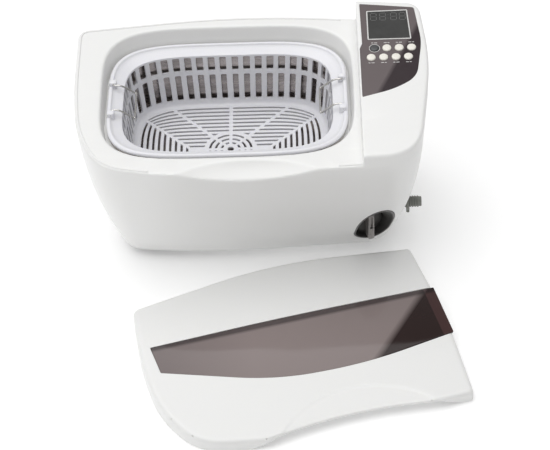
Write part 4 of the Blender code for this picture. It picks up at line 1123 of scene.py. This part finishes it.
def make_digits():
    x, y = WINDOW_CENTRE[0], WINDOW_CENTRE[1] + DIGIT_RISE
    segments = [segment for offset in DIGIT_PLACES for segment in digit((x + offset, y), *DIGIT_SIZE)]
    segments += [bar((x, y + rise), 1.0, 1.0) for rise in (-2.4, 2.4)]
    add("display_segments", draped(plate(segments, 0.015, 0.003), above(pod_top, 0.06)), "display_segments",
        "housing", sharp=60)


def make_keys():
    radius, foot = KEY_RADIUS, KEY_RADIUS + 1.1
    cap = [(0, 1.3), (radius * 0.45, 1.27), (radius - 1.2, 1.1), (radius - 0.5, 0.8), (radius - 0.12, 0.35),
           (radius, -0.2), (radius, -3.5), (foot, -3.5), (foot, -4.4), (0, -4.4)]
    for name, _, _, centre in keys():
        look = "dark_key" if name == "key_upper_1" else "ivory_key"
        add(f"{name}_cap", turned(cap, 48), look, f"{name}_body", replaces=[name], place=on_panel(*centre))


def make_panel():
    window = window_loop()
    make_overlay(window)
    make_glass(window)
    make_print(window)
    make_digits()
    make_keys()


# -------- drain

def cup_distance(x, y, z):
    """The recess's lining: its wall and floor, with a hole for the stem, cut off at the housing's wall."""
    radius, depth = cup_section(x, y, z)
    solid = np.maximum(radius - CUP_RADIUS, depth - CUP_DEPTH)
    hollow = smooth_max(radius - CUP_RADIUS + CUP_WALL, depth - CUP_DEPTH + 2.0, 5.0)
    solid = np.maximum(smooth_max(solid, -hollow, 0.9), 4.4 - radius)
    return smooth_max(solid, wall_distance(x, y, z) - WALL_INSET, 0.8)


def make_cup():
    cup = field_mesh(cup_distance, (116, -100, 20), (174, -40, 96), CUP_GRID, KEPT_FACES)
    add("valve_cup_smooth", cup, "dark_plastic", "housing", replaces=["valve_cup"], sharp=50)


def make_knob():
    """The knob's disc, its bar grip with a groove and a dimple, and the screw in the grip."""
    level = Matrix.Rotation(math.radians(90), 4, "X")
    back = CUP_DEPTH - 4.2
    disc = [(0, 9.6), (12.0, 9.6), (14.6, 9.9), (15.4, 10.5), (15.6, 11.4), (15.6, back), (0, back)]
    disc = moved(turned([(radius, -height) for radius, height in disc]), level)
    add("valve_knob_disc", disc, "dark_plastic", "valve", replaces=["valve_knob"], place=valve_axis())
    grip = bevelled(box_mesh((-3.3, -2.4, -16.6), (3.3, 10.4, 16.6)), 1.5, 4)
    grip = cut(grip, [box_mesh((-1.3, -4, 2.2), (1.3, -0.4, 14.6)), rod_mesh(1.9, -1.0, 4.0, level, 32)])
    add("valve_knob_grip", grip, "knob_plastic", "valve", place=valve_axis(), sharp=45)
    screw = moved(turned([(0, 1.2), (1.2, 1.2), (1.6, 1.0), (1.7, 0.2), (0, 0.2)], 32), level)
    add("valve_knob_screw", screw, "black_plastic", "valve", place=valve_axis())


def make_barb():
    """The hose connector: a flange on the wall, a ribbed tube with a bore, and a lug under the flange."""
    face, tip = BARB_FLANGE, BARB_TIP
    ribs = [(3.2, 165.0), (6.0, 165.0), (6.0, face), (8.2, face), (8.6, face + 0.4), (8.6, face + 2.2),
            (8.2, face + 2.6), (5.2, face + 2.6)]
    x = face + 3.4
    while x < tip - 2.4:
        ribs += [(5.1, x), (6.1, x + 0.25), (6.2, x + 0.7), (6.0, x + 1.1), (5.1, x + 2.3)]
        x += BARB_PITCH
    ribs += [(5.3, tip - 0.6), (4.9, tip), (3.5, tip), (3.2, tip - 0.3)]
    barb = turned([(radius, -place) for radius, place in ribs], closed=True)
    centre = outlet_axis().translation
    centre = Matrix.Translation((0, centre.y, centre.z))
    add("hose_barb_ribbed", barb, "grey_plastic", "housing", replaces=["hose_barb"],
        place=centre @ Matrix.Rotation(math.radians(-90), 4, "Y"), sharp=45)
    lug = bevelled(box_mesh((face + 0.2, -3.4, -13.2), (face + 3.6, 3.4, -7.0)), 0.9, 3)
    add("hose_barb_lug", moved(lug, centre), "grey_plastic", "housing", sharp=45)


# -------- lid

def lid_top(u, v):
    return LID_HEIGHT + LID_SLOPE * v


LID_FIELD = PolarWall([rounded_loop(LID_OUTLINE, 24)], LID_CENTRE, [0.0])


def lid_distance(u, v, z):
    """The lid's moulding: a thin cover with a dished arc on top, a hollow front edge, and an arch cut
    into that edge's foot."""
    wall, top = LID_FIELD(u, v) + LID_INSET, z - lid_top(u, v)
    bite = BITE_RADIUS - np.hypot(u - BITE_CENTRE[0], v - BITE_CENTRE[1])
    inside = np.maximum(np.maximum(wall, bite), top) + LID_WALL
    inward = DISH_RADIUS - np.hypot(u - DISH_CENTRE[0], v - DISH_CENTRE[1])
    edge = np.clip(inward / DISH_EDGE, 0, 1)
    top = top + DISH_DEPTH * edge * edge * (3 - 2 * edge) + DISH_SLOPE * np.maximum(inward, 0)
    body = np.maximum(smooth_max(smooth_max(wall, top, 5.0), bite, 2.0), -inside)
    rise = np.minimum(*((u - foot) / (top_u - foot) for foot, top_u in zip(ARCH_FOOT, ARCH_TOP)))
    arch = np.maximum(z - ARCH_HEIGHT * np.minimum(rise, 1), v - ARCH_BACK)
    return smooth_max(smooth_max(body, -arch, 0.8), -z, 0.6)


def make_lid():
    """The moulding with its seat and opening for the pane, the pane, and a black sheet under the pane's edge
    that paints the shade there.
    """
    shell = field_mesh(lid_distance, (-308, -206, -2), (9, 26, 28), LID_GRID, KEPT_FACES)
    seat = prism(inset_loop(rounded_loop(PANE_OUTLINE, 16), -PANE_GAP),
                 above(lid_top, -PANE_THICK - 0.9), above(lid_top, 6))
    opening = [(-6.5 if u > 0 else u, v, r) for u, v, r in PANE_OUTLINE]
    opening = rounded_loop(inset_corners(opening, PANE_LEDGE), 16)
    add("lid_shell_smooth", cut(shell, [seat, prism(opening, 1, 40)]), "white_abs", "lid",
        replaces=["lid_shell"], place=lid_place(), sharp=45)
    pane = rounded_loop([(5.0 if u > 0 else u, v, r) for u, v, r in PANE_OUTLINE], 16)
    glass = prism(pane, above(lid_top, -PANE_THICK), above(lid_top, -0.05))
    add("lid_smoked_pane", bevelled(glass, 0.35, 2), "clear_smoke", "lid", replaces=["lid_window"],
        place=lid_place(), sharp=60)
    # Painted shade: a black sheet under the pane's edge, where the seat lies in shadow
    shade_sheet = draped(plate([inset_loop(pane, 0.5), opening], 0.3, 0.05), above(lid_top, -PANE_THICK - 0.42))
    add("lid_pane_shade_sheet", shade_sheet, "black_plastic", "lid", place=lid_place(), sharp=60)


# -------- pieces kept from the CAD

def dress_frame():
    """Gives every CAD node that stays visible its look."""
    for part in frame["record"]["subparts"]:
        node = frame["nodes"][part["node"]]
        node.data.materials.clear()
        node.data.materials.append(LOOKS[part["material_slot"]].material)


# -------- stage

def make_stage():
    bm = bmesh.new()
    bmesh.ops.create_grid(bm, x_segments=1, y_segments=1, size=9000)
    mesh = moved(mesh_from_bm(bm), Matrix.Scale(MM, 4))
    mesh.materials.append(LOOKS["floor_paint"].material)
    linked("floor", mesh)


def make_light(name, place, target, size, power):
    data = bpy.data.lights.new(name, "AREA")
    data.shape = "RECTANGLE"
    data.size, data.size_y = size
    data.energy = power
    light = linked(name, data)
    light.location = place
    light.rotation_euler = (Vector(target) - Vector(place)).to_track_quat("-Z", "Y").to_euler()


def make_lights():
    """A pale surround that is brighter on its left, a wide light overhead and a faint one at the left."""
    world = bpy.data.worlds.new("studio")
    bpy.context.scene.world = world
    world.use_nodes = True
    tree = world.node_tree
    place = new_node(tree, "ShaderNodeTexCoord", {}).outputs["Generated"]
    across = new_node(tree, "ShaderNodeSeparateXYZ", {0: place}).outputs["X"]
    fall = {"Value": across, "From Min": -1, "To Min": 1.14, "To Max": 0.56}
    fall = new_node(tree, "ShaderNodeMapRange", fall)
    background = tree.nodes["Background"]
    background.inputs["Strength"].default_value = 0.58
    tree.links.new(fall.outputs["Result"], background.inputs["Color"])
    make_light("overhead", (-0.25, 0.06, 2.0), (0, 0, 0), (2.3, 2.2), 30)
    make_light("left_window", (-1.6, -0.4, 1.0), (0, 0, 0.1), (0.9, 1.2), 0.4)
    bpy.context.scene.view_settings.view_transform = "Standard"


def make_camera():
    sight = Vector((math.sin(PAN) * math.cos(ELEVATION), math.cos(PAN) * math.cos(ELEVATION),
                    -math.sin(ELEVATION)))
    level = Vector((math.cos(PAN), -math.sin(PAN), 0))
    upright = level.cross(sight)
    right = level * math.cos(ROLL) - upright * math.sin(ROLL)
    up = level * math.sin(ROLL) + upright * math.cos(ROLL)
    data = bpy.data.cameras.new("camera")
    data.lens, data.sensor_width = LENS, SENSOR
    data.clip_start, data.clip_end = 0.1, 50
    camera = linked("camera", data)
    turn = Matrix((right, up, -sight)).transposed().to_4x4()
    camera.matrix_world = Matrix.Translation(ORIGIN + (Vector(LOOK_AT) - sight * DISTANCE) * MM) @ turn
    bpy.context.scene.camera = camera


LOOKS = make_looks()
dress_frame()
make_housing()
make_tank()
make_basket()
make_handles()
make_panel()
make_cup()
make_knob()
make_barb()
make_lid()
make_stage()
make_lights()
make_camera()
